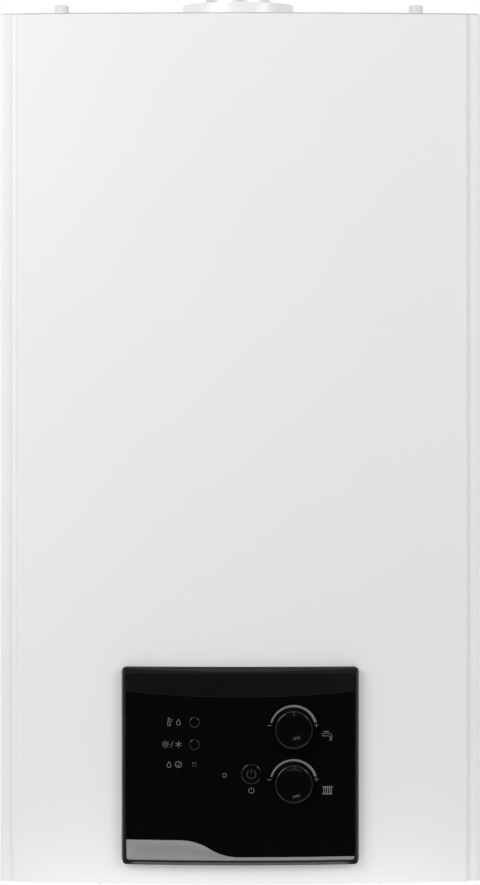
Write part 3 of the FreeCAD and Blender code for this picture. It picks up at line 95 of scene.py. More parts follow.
class Wire:
    """One output of a node; sums and products with it become nodes as well."""

    def __init__(self, graph, socket):
        self.graph = graph
        self.socket = socket

    def math(self, operation, left, right):
        return self.graph.node("ShaderNodeMath", {"operation": operation}, {0: left, 1: right})

    def __add__(self, other):
        return self.math("ADD", self, other)

    def __radd__(self, other):
        return self.math("ADD", other, self)

    def __mul__(self, other):
        return self.math("MULTIPLY", self, other)

    def __rmul__(self, other):
        return self.math("MULTIPLY", other, self)

    def max(self, other):
        return self.math("MAXIMUM", self, other)

    def between(self, low, high):
        """0 below low, 1 above high and a smooth step between them."""
        values = {"Value": self, "From Min": low, "From Max": high}
        return self.graph.node("ShaderNodeMapRange", {"interpolation_type": "SMOOTHSTEP"}, values)


class Graph:
    """A node tree that nodes are added to."""

    def __init__(self, tree):
        self.tree = tree
        tree.nodes.clear()

    def node(self, kind, settings=None, values=None, output=0):
        made = self.tree.nodes.new(kind)
        for name, setting in (settings or {}).items():
            setattr(made, name, setting)
        for name, value in (values or {}).items():
            if isinstance(value, Wire):
                self.tree.links.new(value.socket, made.inputs[name])
            else:
                made.inputs[name].default_value = value
        return Wire(self, made.outputs[output]) if made.outputs else made


class Finish(Graph):
    """A material with one main shader, worked out on the object's own coordinates."""

    def __init__(self, name, **values):
        self.material = bpy.data.materials.new(name)
        self.material.use_nodes = True
        super().__init__(self.material.node_tree)
        self.shader = self.node("ShaderNodeBsdfPrincipled")
        self.end = self.node("ShaderNodeOutputMaterial", None, {"Surface": self.shader})
        self.place = self.node("ShaderNodeTexCoord", None, None, "Object")
        self.put(**values)

    def put(self, **values):
        """Set or link the main shader's sockets; Base_Color stands for Base Color."""
        for name, value in values.items():
            socket = self.shader.socket.node.inputs[name.replace("_", " ")]
            if isinstance(value, Wire):
                self.tree.links.new(value.socket, socket)
            else:
                socket.default_value = value

    def stretched(self, scale):
        """Object coordinates stretched by a factor on each axis."""
        return self.node("ShaderNodeMapping", None, {"Vector": self.place, "Scale": scale})

    def noise(self, scale, detail=3.0, vector=None):
        """Soft noise from 0 to 1; scale counts its spots per metre."""
        values = {"Vector": vector or self.place, "Scale": scale, "Detail": detail}
        return self.node("ShaderNodeTexNoise", None, values)

    def cells(self, scale):
        """Irregular cells, each with its own colour; scale counts them per metre."""
        values = {"Vector": self.place, "Scale": scale}
        return self.node("ShaderNodeTexVoronoi", None, values, "Color")

    def mixed(self, share, first, second):
        """A colour between two colours."""
        values = {"Factor": share, 6: first, 7: second}
        return self.node("ShaderNodeMix", {"data_type": "RGBA"}, values, 2)

    def bumped(self, height, distance):
        """Bend the surface's normal by a height from 0 to 1, as deep as the distance in metres."""
        values = {"Height": height, "Distance": distance, "Strength": 1.0}
        self.put(Normal=self.node("ShaderNodeBump", None, values))


print("shader words ready")

# %% [markdown]
# The light is a studio's: a pale room all round, a tall soft lamp on each side of the camera, the
# left one nearer, and weaker ones that lift the lower edge, the back and the underside. A ray from
# the camera that misses the boiler sees plain white, and so do reflections, while the light that
# falls on the boiler stays moderate. The two main lamps are tall because round pieces then show
# them as upright bands of light. A thin lamp, almost level, leaves the short glint that sunk faces
# have low down. Light linking keeps it to the pieces of one collection, or the enamel would mirror
# it too.

# %% Light
ROOM_LIGHT = 0.595
GLINT_ROLL = 14
world = bpy.data.worlds.new("studio")
scene.world = world
world.use_nodes = True
room = Graph(world.node_tree)


def shown_directly(graph):
    """1 for rays that show the background itself: seen, mirrored or through glass; else 0."""
    seen = graph.node("ShaderNodeLightPath", None, None, "Is Camera Ray")
    mirrored = graph.node("ShaderNodeLightPath", None, None, "Is Glossy Ray")
    through = graph.node("ShaderNodeLightPath", None, None, "Is Transmission Ray")
    return seen.max(mirrored).max(through)


strength = shown_directly(room) * (1 - ROOM_LIGHT) + ROOM_LIGHT
backdrop = room.node("ShaderNodeBackground", None, {"Color": (1, 1, 1, 1), "Strength": strength})
room.node("ShaderNodeOutputWorld", None, {"Surface": backdrop})


def soft_lamp(name, place, aim, width, height, power):
    """An oblong lamp at a place, turned so that its -Z axis points at the aim."""
    data = bpy.data.lights.new(name, "AREA")
    data.shape = "RECTANGLE"
    data.size = width
    data.size_y = height
    data.energy = power
    lamp = bpy.data.objects.new(name, data)
    lamp.location = place
    direction = mathutils.Vector(aim) - mathutils.Vector(place)
    lamp.rotation_euler = direction.to_track_quat("-Z", "Y").to_euler()
    lamp.visible_camera = False
    scene.collection.objects.link(lamp)
    return lamp


# each lamp's place, the point it aims at, its width and height in metres and its power in watts
soft_lamp("left_lamp", (-1.3, -1.35, 0.55), (0, -0.3, -0.15), 0.85, 1.3, 17)
soft_lamp("right_lamp", (2.0, -1.8, 0.65), (0, -0.3, -0.2), 0.85, 1.3, 19)
soft_lamp("edge_lamp", (0, -0.36, -0.725), (0, -0.3, -0.67), 0.42, 0.03, 0.047)
soft_lamp("rear_lamp", (0.6, 2.4, 1.0), (0, 0, -0.3), 1.8, 1.8, 15)
soft_lamp("under_lamp", (0.3, 0.3, -1.9), (0, -0.15, -0.65), 1.0, 1.0, 6)
glint_lamp = soft_lamp("glint_lamp", (0.04, -2.3, -0.72), (0.045, -0.32, -0.58), 0.16, 0.012, 0.08)
glint_lamp.rotation_euler.rotate_axis("Z", math.radians(GLINT_ROLL))
glint_faces = bpy.data.collections.new("glint_faces")
glint_lamp.light_linking.receiver_collection = glint_faces

# %% [markdown]
# The boiler hangs on a wall that the picture doesn't show. A pale floor well below it catches
# its shadow. Seen from underneath the floor lets the view through, so the connections on the
# underside can be looked at. The black panel would mirror the bright room and turn grey, so a
# photographer hangs a black cloth behind the camera, and the scene has one as well.

# %% Floor and cloth
HALF_FLOOR = 6.0
FLOOR_LEVEL = -2.2
FLOOR_GLOW = 0.8
CLOTH_SIDES = (-1.9, 1.6)
CLOTH_ENDS = (-2.15, -0.3)
CLOTH_DEPTH = -4.4


def stage_sheet(name, corners, finish):
    """A flat four-cornered sheet that belongs to the studio."""
    mesh = bpy.data.meshes.new(name)
    mesh.from_pydata(corners, [], [(0, 1, 2, 3)])
    mesh.materials.append(finish.material)
    sheet = bpy.data.objects.new(name, mesh)
    scene.collection.objects.link(sheet)
    return sheet


pale_floor = Finish("pale_floor", Roughness=0.9)
tint = pale_floor.noise(scale=2.0)
pale_floor.put(Base_Color=pale_floor.mixed(tint, (0.80, 0.80, 0.80, 1), (0.86, 0.86, 0.86, 1)))
glow = pale_floor.node("ShaderNodeEmission", None, {"Color": (1, 1, 1, 1), "Strength": 1.0})
glowing = shown_directly(pale_floor) * FLOOR_GLOW
lit = pale_floor.node("ShaderNodeMixShader", None, {0: glowing, 1: pale_floor.shader, 2: glow})
below = pale_floor.node("ShaderNodeNewGeometry", None, None, "Backfacing")
clear = pale_floor.node("ShaderNodeBsdfTransparent")
one_sided = pale_floor.node("ShaderNodeMixShader", None, {0: below, 1: lit, 2: clear})
pale_floor.tree.links.new(one_sided.socket, pale_floor.end.inputs["Surface"])
floor_corners = HALF_FLOOR * np.array([(-1, -1), (1, -1), (1, 1), (-1, 1)])
stage_sheet("floor", [(x, y, FLOOR_LEVEL) for x, y in floor_corners], pale_floor)

black_cloth = Finish("black_cloth", Roughness=0.95, Specular_IOR_Level=0.1)
weave = black_cloth.noise(scale=300.0)
black_cloth.put(Base_Color=black_cloth.mixed(weave, (0.01, 0.01, 0.01, 1), (0.02, 0.02, 0.02, 1)))
left, right = CLOTH_SIDES
foot, top = CLOTH_ENDS
cloth_corners = [(left, foot), (right, foot), (right, top), (left, top)]
cloth = stage_sheet("cloth", [(x, CLOTH_DEPTH, z) for x, z in cloth_corners], black_cloth)
cloth.visible_camera = False
print("floor at", FLOOR_LEVEL, "m")

# %% [markdown]
# The casing is sheet steel under baked white enamel. Such paint is never quite flat: it dries
# with a faint orange-peel skin about a millimetre across. A very shallow noise bump gives that,
# and a slow drift in colour and gloss keeps the large front from looking computed.

# %% White enamel
PEEL_DEPTH = 0.000012
PAINT_GLOSS = 0.08
finishes = {}


def enamel(name, dark, light, roughness):
    """Baked paint: two close colours mixed by slow noise, under an orange-peel skin."""
    paint = Finish(name, Coat_Weight=0.08, Coat_Roughness=0.2, Specular_IOR_Level=0.22)
    drift = paint.noise(scale=5.0, detail=2.0)
    peel = paint.noise(scale=900.0, detail=1.0)
    paint.put(
        Base_Color=paint.mixed(drift, dark, light),
        Roughness=roughness - PAINT_GLOSS / 2 + PAINT_GLOSS * paint.noise(scale=40.0),
    )
    paint.bumped(peel, PEEL_DEPTH)
    finishes[name] = paint.material


enamel("white_enamel", (0.845, 0.845, 0.845, 1), (0.87, 0.87, 0.87, 1), 0.46)
enamel("red_enamel", (0.42, 0.025, 0.02, 1), (0.52, 0.04, 0.03, 1), 0.4)
print("painted:", list(finishes))

# %% [markdown]
# Frame, rail and bracket are galvanised. Zinc sets in flat crystals, each with its own tone, so
# the sheet is a mosaic of cells a few millimetres across. A Voronoi texture makes the mosaic and
# drives colour and roughness together.

# %% Galvanised sheet
STAIN_DEPTH = 0.00004
LEAST_ROUGHNESS = 0.32
FLAKE_GLOSS = 0.12
STAIN_GLOSS = 0.12


def galvanised(name):
    """Zinc: every cell of a mosaic gets its own tone and gloss."""
    zinc = Finish(name, Metallic=1.0)
    flake = zinc.node("ShaderNodeSeparateColor", None, {"Color": zinc.cells(scale=140.0)}, "Red")
    stain = zinc.noise(scale=25.0, detail=5.0)
    zinc.put(
        Base_Color=zinc.mixed(flake, (0.54, 0.56, 0.575, 1), (0.64, 0.66, 0.675, 1)),
        Roughness=LEAST_ROUGHNESS + FLAKE_GLOSS * flake + STAIN_GLOSS * stain,
    )
    zinc.bumped(stain, STAIN_DEPTH)
    finishes[name] = zinc.material


galvanised("zinc_sheet")
print("galvanised ready")

# %% [markdown]
# Rolled and brushed metals carry fine lines along one direction. Noise that is stretched a
# hundredfold along an axis gives such lines: aluminised sheet and steel run upright, the silver
# trim runs sideways.

# %% Rolled and brushed metal
LINE_DEPTH = 0.00002
LINE_GLOSS = 0.16
LINE_SHARE = 0.6
METAL_TONES = (0.86, 1.06)
UPRIGHT_LINES = (900, 900, 9)
LEVEL_LINES = (9, 900, 1400)


def toned(colour, factors):
    """A colour made darker and lighter by two factors, each with an alpha of one."""
    return [tuple(min(factor * part, 1) for part in colour) + (1,) for factor in factors]


def brushed(name, colour, roughness, scale, metallic=1.0):
    """Metal with lines: noise on stretched coordinates moves the tone and the gloss."""
    metal = Finish(name, Metallic=metallic)
    lines = metal.noise(1.0, 4.0, metal.stretched(scale))
    cloud = metal.noise(scale=18.0, detail=3.0)
    share = LINE_SHARE * lines + (1 - LINE_SHARE) * cloud
    metal.put(
        Base_Color=metal.mixed(share, *toned(colour, METAL_TONES)),
        Roughness=roughness - LINE_GLOSS / 2 + LINE_GLOSS * lines,
    )
    metal.bumped(lines, LINE_DEPTH)
    finishes[name] = metal.material


brushed("alu_sheet", (0.72, 0.73, 0.74), 0.38, UPRIGHT_LINES)
brushed("steel", (0.56, 0.57, 0.58), 0.3, UPRIGHT_LINES)
brushed("silver_plastic", (0.315, 0.315, 0.32), 0.36, LEVEL_LINES, 0.35)
print("brushed ready")

# %% [markdown]
# Cast metal keeps the skin of its mould: a fine grain, a little deeper and rougher than paint.
# The flue collar is cast aluminium, the pump a painted iron casting.

# %% Cast metal
GRAIN_GLOSS = 0.12


def cast(name, dark, light, roughness, metallic, depth):
    """A casting: fine grain for the skin, soft clouds for the tone."""
    metal = Finish(name, Metallic=metallic, Specular_IOR_Level=0.2)
    grain = metal.noise(scale=800.0, detail=4.0)
    cloud = metal.noise(scale=30.0, detail=4.0)
    metal.put(
        Base_Color=metal.mixed(cloud, dark, light),
        Roughness=roughness - GRAIN_GLOSS / 2 + GRAIN_GLOSS * grain,
    )
    metal.bumped(grain, depth)
    finishes[name] = metal.material


cast("cast_alu", (0.74, 0.74, 0.74, 1), (0.79, 0.79, 0.79, 1), 0.34, 0.1, 0.00003)
cast("cast_iron", (0.055, 0.057, 0.06, 1), (0.09, 0.092, 0.095, 1), 0.55, 0.1, 0.00012)
print("cast ready")

# %% [markdown]
# Brass and copper are turned or drawn, then darken where air and hands reach them. Fine rings
# round the part come from noise stretched across the axis, and cloudy tarnish lowers both the
# colour and the shine.

# %% Brass and copper
RING_DEPTH = 0.00002
RING_SCALE = (60, 60, 1500)
RING_GLOSS = 0.1
TARNISH_GLOSS = 0.2
TARNISH_RANGE = (0.42, 0.68)


def tarnished(name, bright, dull, roughness):
    """Yellow or red metal: bright below, dull where the tarnish clouds are thick."""
    metal = Finish(name, Metallic=1.0)
    rings = metal.noise(1.0, 3.0, metal.stretched(RING_SCALE))
    tarnish = metal.noise(scale=55.0, detail=6.0).between(*TARNISH_RANGE)
    metal.put(
        Base_Color=metal.mixed(tarnish, bright, dull),
        Roughness=roughness + RING_GLOSS * rings + TARNISH_GLOSS * tarnish,
    )
    metal.bumped(rings, RING_DEPTH)
    finishes[name] = metal.material


tarnished("brass", (0.80, 0.62, 0.32, 1), (0.55, 0.40, 0.19, 1), 0.2)
tarnished("copper", (0.80, 0.45, 0.31, 1), (0.50, 0.25, 0.17, 1), 0.22)
print("brass and copper ready")

# %% [markdown]
# Moulded plastic takes its look from the mould: satin parts have a spark-eroded grain, polished
# ones only a trace of waviness. One function with a grain depth covers them all.

# %% Moulded plastic
PLASTIC_TONES = (0.88, 1.1)
SMEAR_GLOSS = 0.05
MOULD_GLOSS = 0.04


def moulded(name, colour, roughness, depth, specular=0.5):
    """Plastic: a grain bump of a depth in metres, and a colour and gloss that wander a little."""
    plastic = Finish(name, Specular_IOR_Level=specular)
    grain = plastic.noise(scale=1600.0, detail=2.0)
    smear = plastic.noise(scale=35.0, detail=4.0)
    plastic.put(
        Base_Color=plastic.mixed(smear, *toned(colour, PLASTIC_TONES)),
        Roughness=roughness - MOULD_GLOSS + SMEAR_GLOSS * smear + MOULD_GLOSS * grain,
    )
    plastic.bumped(grain, depth)
    finishes[name] = plastic.material


# each plastic's colour, roughness, depth of grain and specular level
moulded("white_plastic", (0.69, 0.69, 0.685), 0.45, 0.00002, 0.3)
moulded("grey_plastic", (0.007, 0.007, 0.0075), 0.34, 0.00002, 0.18)
moulded("black_plastic", (0.0045, 0.0045, 0.005), 0.2, 0.000006, 0.4)
moulded("gloss_black", (0.0024, 0.0024, 0.0027), 0.1, 0.000002, 0.2)
moulded("red_plastic", (0.50, 0.03, 0.025), 0.4, 0.00003)
moulded("blue_plastic", (0.03, 0.09, 0.38), 0.4, 0.00003)
moulded("lens", (0.006, 0.006, 0.007), 0.08, 0.000002, 0.3)
moulded("seal", (0.035, 0.035, 0.037), 0.8, 0.00015, 0.3)
print("plastics ready")

# %% [markdown]
# Two finishes are left inside: the board's green lacquer with its copper tracks showing through
# as slightly lighter bands, and the lining of ceramic fibre, a matted white felt.

# %% Board and fibre
FELT_DEPTH = 0.0006
board = Finish("board", Roughness=0.35)
stood_up = {"Vector": board.place, "Rotation": (math.radians(90), 0, 0)}
layout = {
    "Vector": board.node("ShaderNodeMapping", None, stood_up),
    "Scale": 60.0,
    "Color1": (0.03, 0.16, 0.07, 1),
    "Color2": (0.025, 0.13, 0.06, 1),
    "Mortar": (0.07, 0.26, 0.12, 1),
    "Mortar Size": 0.03,
}
board.put(Base_Color=board.node("ShaderNodeTexBrick", None, layout))
finishes["board"] = board.material
fibre = Finish("fibre", Roughness=0.95)
felt = fibre.noise(scale=500.0, detail=6.0)
fibre.put(Base_Color=fibre.mixed(felt, (0.72, 0.70, 0.65, 1), (0.88, 0.87, 0.83, 1)))
fibre.bumped(felt, FELT_DEPTH)
finishes["fibre"] = fibre.material
print("finishes:", len(finishes))

# %% [markdown]
# Every solid names a material slot in the record, and each slot has its finish by now. The
# solids only get their material exchanged: their meshes stay as they came.

# %% Dressing the solids
for entry in frame["record"]["subparts"]:
    mesh = nodes[entry["node"]].data
    mesh.materials.clear()
    mesh.materials.append(finishes[entry["material_slot"]])

# %% [markdown]
# Castings and mouldings have no razor edges. A Bevel modifier rounds those of the panel, the flue,
# the valves and the motors and leaves their stored meshes alone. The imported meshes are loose
# triangles, so a Weld modifier first joins them, or no edges between faces were there to round.

# %% Rounded edges
WELD_DISTANCE = 1e-6
ROUND_SEGMENTS = 3


def soften(node, width, angle):
    """Round every edge of a solid that folds by more than the angle, in degrees."""
    weld = nodes[node].modifiers.new("joined", "WELD")
    weld.merge_threshold = WELD_DISTANCE
    bevel = nodes[node].modifiers.new("rounded", "BEVEL")
    bevel.width = width
    bevel.segments = ROUND_SEGMENTS
    bevel.limit_method = "ANGLE"
    bevel.angle_limit = math.radians(angle)
    bevel.harden_normals = True


# the width of the rounding in metres and the least fold in degrees
SOFTENED = {
    "control_bezel": (0.0009, 24),
    "silver_trim": (0.0003, 40),
    "flue_collar": (0.0006, 40),
    "gas_valve": (0.0015, 24),
    "gas_valve_coils": (0.002, 24),
    "diverter_motor": (0.003, 24),
    "pump_motor": (0.003, 30),
    "flow_group": (0.0012, 24),
    "return_group": (0.0012, 24),
    "filling_knob": (0.0012, 30),
}
for node, (width, angle) in SOFTENED.items():
    soften(node, width, angle)
print("rounded:", len(SOFTENED))

# %% [markdown]
# New surfaces are grids of points: rows run along a path or a profile, columns run round. A whole
# grid is one array, and its faces are index arithmetic on rows and columns. One piece may hold
# several such tubes, as a row of screws does.

# %% Grid surfaces


def tube_faces(grid):
    """The faces of a closed tube from a grid of rows by columns by 3, all pointing outwards.

    Face (row, column) joins the four grid points at row, row + 1, column and column + 1, with
    the last column joined to the first. Where the last row lies on the first the tube is a ring;
    else one face closes each end. Where the signed volume, a sixth of the sum of a . (b x c)
    over triangles, is negative, every face is turned round.
    """
    ring = np.allclose(grid[0], grid[-1], atol=1e-9)
    grid = grid[:-1] if ring else grid
    rows, columns = grid.shape[:2]
    steps = np.arange(rows if ring else rows - 1)
    down, across = np.meshgrid(steps, np.arange(columns), indexing="ij")
    below, beside = (down + 1) % rows, (across + 1) % columns
    corners = ((down, across), (down, beside), (below, beside), (below, across))
    quads = np.stack([row * columns + column for row, column in corners], axis=-1).reshape(-1, 4)
    points = grid.reshape(-1, 3)
    ends = [] if ring else [np.arange(columns)[::-1], np.arange(columns) + (rows - 1) * columns]
    a, b, c, d = np.moveaxis((points - points.mean(axis=0))[quads], 1, 0)
    volume = np.sum(a * np.cross(b, c)) + np.sum(a * np.cross(c, d))
    faces = list(quads) + ends
    return points, faces if volume > 0 else [face[::-1] for face in faces]


def surface(name, grids, finish, body="boiler", replaced=(), sharp=35):
    """One piece of one or more closed tubes; edges that fold by more than sharp stay sharp."""
    points, faces, count = [], [], 0
    for grid in grids:
        own_points, own_faces = tube_faces(np.asarray(grid, dtype=float))
        points.append(own_points)
        faces += [(face + count).tolist() for face in own_faces]
        count += len(own_points)
    mesh = bpy.data.meshes.new(name)
    mesh.from_pydata(np.vstack(points).tolist(), [], faces)
    mesh.materials.append(finishes[finish])
    mesh.polygons.foreach_set("use_smooth", np.ones(len(mesh.polygons), dtype=bool))
    mesh.set_sharp_from_angle(angle=math.radians(sharp))
    mesh.update()
    piece = bpy.data.objects.new(name, mesh)
    scene.collection.objects.link(piece)
    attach(piece, body)
    if replaced:
        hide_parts(*replaced)
    return piece


def turned(profile, centre, axis, steps):
    """A profile of radius and height turned about the y or z axis through the centre.

    About y a point of radius r and height h becomes the ring (r sin a, h, r cos a), about z the
    ring (r cos a, r sin a, h). A radius may also be an array with one entry for each angle.
    """
    angle = np.linspace(0, 2 * np.pi, steps, endpoint=False)
    rings = []
    for radius, height in profile:
        first, second = radius * np.cos(angle), radius * np.sin(angle)
        level = np.full(steps, height)
        ring = [second, level, first] if axis == "y" else [first, second, level]
        rings.append(np.column_stack(ring))
    return np.stack(rings) + np.asarray(centre)


def arc(centre, radius, start, stop, count=7):
    """Points of a circle from one angle to another, in degrees from the first axis."""
    angle = np.radians(np.linspace(start, stop, count))
    return np.column_stack([centre[0] + radius * np.cos(angle), centre[1] + radius * np.sin(angle)])


def middle_of(node):
    """A node's lowest and highest corners, and the point half-way between them."""
    low, high = (np.array(corner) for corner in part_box(node))
    return low, high, (low + high) / 2


def spot_of(node):
    """The x and z of a node's middle, as the front shows it."""
    return middle_of(node)[2][[0, 2]]


print("grid surfaces ready")

# %% [markdown]
# The two knobs are black discs with a sunk face and a narrow chamfer round it, so a glint lies low
# on the face and the lamps run along the top of the chamfer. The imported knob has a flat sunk
# face; a turned profile with a parabola for the dish has the same outline and the real
# highlights. A narrow dip in the rim at the top is the pointer. A turned face starts a fraction of
# a millimetre away from its axis, and one small flat face closes this hub.

# %% Knobs
KNOB_HEIGHT = 0.008
KNOB_DISH = 0.00075
KNOB_RIM = 0.0008
KNOB_HUB = 0.0004
KNOB_STEPS = 192
FOOT_RADIUS = 0.0004
STEM_RADIUS = 0.003
POINTER_WIDTH = 0.0006
POINTER_DEPTH = 0.0007
POINTER_START = 0.74
POINTER_EASE = 0.06
POINTER_FADE = 0.004
CHAMFER_TILT = 34
CORNER_RADIUS = 0.0002
LAND_WIDTH = 0.0001
FACE_SHARP = 20
moulded("knob_black", (0.0026, 0.0026, 0.0028), 0.06, 0.0000002, 0.22)
moulded("button_black", (0.0024, 0.0024, 0.0027), 0.08, 0.0000002, 0.18)


def chamfer(radius, front, width):
    """Points of a flat land, a narrow cone round it and a small arc that leads on to the side.

    The cone falls back by its run times the tangent of its tilt. The arc's centre lies one corner
    radius behind the cone, square to it, so the arc starts in the cone's own direction.
    """
    tilt = math.radians(CHAMFER_TILT)
    run = width - CORNER_RADIUS * (1 - math.sin(tilt))
    depth = run * math.tan(tilt) + CORNER_RADIUS * math.cos(tilt)
    corner = arc((radius - CORNER_RADIUS, front + depth), CORNER_RADIUS, CHAMFER_TILT - 90, 0, 4)
    start = radius - width
    return np.vstack([[(start - LAND_WIDTH, front), (start, front)], corner])


def knob(node):
    """A turned knob: dish d (1 - (r / edge)^2), chamfer, side and stem, dipped by the pointer.

    The pointer is a bell curve exp(-(x / w)^2) in the rim's upper part that fades out backwards.
    """
    low, high, middle = middle_of(node)
    radius = (high[0] - low[0]) / 2
    front = low[1]
    back = front + KNOB_HEIGHT
    edge = radius - 2 * KNOB_RIM
    across = np.linspace(KNOB_HUB, edge, 28)
    dish = np.column_stack([across, front + KNOB_DISH * (1 - (across / edge) ** 2)])
    rim = chamfer(radius, front, KNOB_RIM)
    foot = arc((radius - FOOT_RADIUS, back - FOOT_RADIUS), FOOT_RADIUS, 0, 90, 4)
    stem = [(STEM_RADIUS, back), (STEM_RADIUS, high[1]), (KNOB_HUB, high[1])]
    grid = turned(np.vstack([dish, rim, foot, stem]), (middle[0], 0, middle[2]), "y", KNOB_STEPS)
    side = grid[..., 0] - middle[0]
    rise = grid[..., 2] - middle[2]
    bell = np.exp(-((side / POINTER_WIDTH) ** 2))
    near_rim = np.clip((rise - POINTER_START * radius) / (POINTER_EASE * radius), 0, 1)
    at_front = np.clip(1 - (grid[..., 1] - front) / POINTER_FADE, 0, 1)
    grid[..., 1] += POINTER_DEPTH * bell * near_rim * at_front
    name = f"{node}_dished"
    return surface(name, [grid], "knob_black", node, [node], FACE_SHARP)


for node in ("hot_water_knob", "heating_knob"):
    piece = knob(node)
    glint_faces.objects.link(piece)
    print(piece.name)

# %% [markdown]
# The buttons and the two small lenses are turned as well. A button has a shallow dish, a lens a
# low dome, and both have a chamfer that mirrors the lamps as two short arcs. They run back
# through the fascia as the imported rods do.

# %% Buttons and lenses
BUTTON_HUB = 0.0003
BUTTON_STEPS = 96
BUTTON_EDGE = 0.0009
SMALL_DISH = 0.00008
RESET_DISH = 0.00015
BUTTON_DISHES = {"eco_button": SMALL_DISH, "season_button": SMALL_DISH, "reset_button": RESET_DISH}
LENS_HUB = 0.0002
LENS_STEPS = 64
LENS_DOME = 0.0001
LENS_EDGES = {"pressure_lens": 0.0008, "flame_lens": 0.0003}


def push_button(node, dish):
    """A turned button: a dish d (1 - (r / edge)^4), a chamfer for the edge and a straight skirt."""
    low, high, middle = middle_of(node)
    radius = (high[0] - low[0]) / 2
    edge = radius - BUTTON_EDGE - LAND_WIDTH
    across = np.linspace(BUTTON_HUB, edge, 16)
    face = np.column_stack([across, low[1] + dish * (1 - (across / edge) ** 4)])
    skirt = [(radius, high[1]), (BUTTON_HUB, high[1])]
    profile = np.vstack([face, chamfer(radius, low[1], BUTTON_EDGE)[1:], skirt])
    grid = turned(profile, (middle[0], 0, middle[2]), "y", BUTTON_STEPS)
    name = f"{node}_turned"
    return surface(name, [grid], "button_black", node, [node], FACE_SHARP)


def domed_lens(node, edge_width):
    """A turned lens: a dome d (r / edge)^2 behind its crown, a chamfer, then a straight skirt."""
    low, high, middle = middle_of(node)
    radius = (high[0] - low[0]) / 2
    edge = radius - edge_width - LAND_WIDTH
    across = np.linspace(LENS_HUB, edge, 12)
    face = np.column_stack([across, low[1] + LENS_DOME * (across / edge) ** 2])
    skirt = [(radius, high[1]), (LENS_HUB, high[1])]
    profile = np.vstack([face, chamfer(radius, low[1] + LENS_DOME, edge_width)[1:], skirt])
    grid = turned(profile, (middle[0], 0, middle[2]), "y", LENS_STEPS)
    return surface(f"{node}_domed", [grid], "lens", "boiler", [node], FACE_SHARP)


for node, dish in BUTTON_DISHES.items():
    print(push_button(node, dish).name)
for node, edge_width in LENS_EDGES.items():
    print(domed_lens(node, edge_width).name)

# %% [markdown]
# The signs on the fascia are printed in grey. A print could be part of the shader, but thin
# strokes keep sharp edges at any distance: each is a flat bar carried along a path, laid on the
# fascia's bow a few hundredths of a millimetre proud. The first stroke is no print but a painted
# highlight: a dark grey line, a little lighter than the fascia, that stands in for the light
# along the seam under the panel's header.

# %% Printed strokes
PANEL_BOW = 0.005
FASCIA_RECESS = 0.001
PRINT_HEIGHT = 0.00006
PRINT_SUNK = 0.00003
HEADER_DIP = 0.0046
SEAM_DROP = 0.0002
SEAM_WIDTH = 0.0005
MM_PER_METRE = 1000
bezel_low, bezel_high, _ = middle_of("control_bezel")
bezel_half = (bezel_high[0] - bezel_low[0]) / 2
PANEL_RADIUS = (bezel_half**2 + PANEL_BOW**2) / (2 * PANEL_BOW)
PANEL_CENTRE = bezel_low[1] + PANEL_RADIUS
FASCIA_RADIUS = PANEL_RADIUS - FASCIA_RECESS


def fascia_depth(x, z):
    """The fascia's front is an arc in plan: its centre's depth less the root of r^2 - x^2.

    It is the same at every z, which the depth of a dish is not.
    """
    return PANEL_CENTRE - np.sqrt(FASCIA_RADIUS**2 - x**2)


def stroke(path, width, depth=fascia_depth):
    """The grid of a flat bar along a path of x and z; its width may change along it.

    The path's tangent is its gradient, its normal the tangent turned by a right angle, and the
    bar's four edges lie at half the width to each side, just under and just above the surface.
    """
    path = np.asarray(path, dtype=float)
    half = np.broadcast_to(np.asarray(width, dtype=float) / 2, len(path))[:, None]
    tangent = np.gradient(path, axis=0)
    if np.allclose(path[0], path[-1]):
        tangent[[0, -1]] = path[1] - path[-2]
    tangent /= np.linalg.norm(tangent, axis=1)[:, None]
    normal = np.column_stack([-tangent[:, 1], tangent[:, 0]])
    sides = [path - half * normal, path + half * normal]
    edges = []
    for side, lift in ((0, -PRINT_SUNK), (1, -PRINT_SUNK), (1, PRINT_HEIGHT), (0, PRINT_HEIGHT)):
        x, z = sides[side].T
        edges.append(np.column_stack([x, depth(x, z) - lift, z]))
    return np.stack(edges, axis=1)


def line(start, stop):
    """A straight run between two points, with a few points on the way."""
    return np.linspace(start, stop, 6)


def sign(name, centre, paths, width, finish="print_grey", body="boiler", depth=fascia_depth):
    """A sign of several strokes, drawn in millimetres about its centre."""
    grids = [stroke(np.asarray(path) / MM_PER_METRE + centre, width, depth) for path in paths]
    return surface(name, grids, finish, body)


moulded("print_grey", (0.20, 0.20, 0.20), 0.6, 0.000002, 0.2)
# painted highlight: a grey a little lighter than the fascia, drawn along the header's seam where its
# edge catches the light
moulded("seam_highlight_grey", (0.014, 0.014, 0.015), 0.4, 0.000002, 0.3)
header_low, header_high, _ = middle_of("panel_header")
seam_x = np.linspace(header_low[0], header_high[0], 81)
seam_edge = header_low[2] + HEADER_DIP * (seam_x / header_high[0]) ** 2
seam = np.column_stack([seam_x, seam_edge - SEAM_DROP])
surface("header_seam_highlight", [stroke(seam, SEAM_WIDTH)], "seam_highlight_grey")
print("fascia radius", round(FASCIA_RADIUS, 4))

# %% [markdown]
# Round each knob runs a scale that widens from its minus end to its plus end, so the eye reads
# less and more. One stroke along the circle does it, with a width that grows along the way.

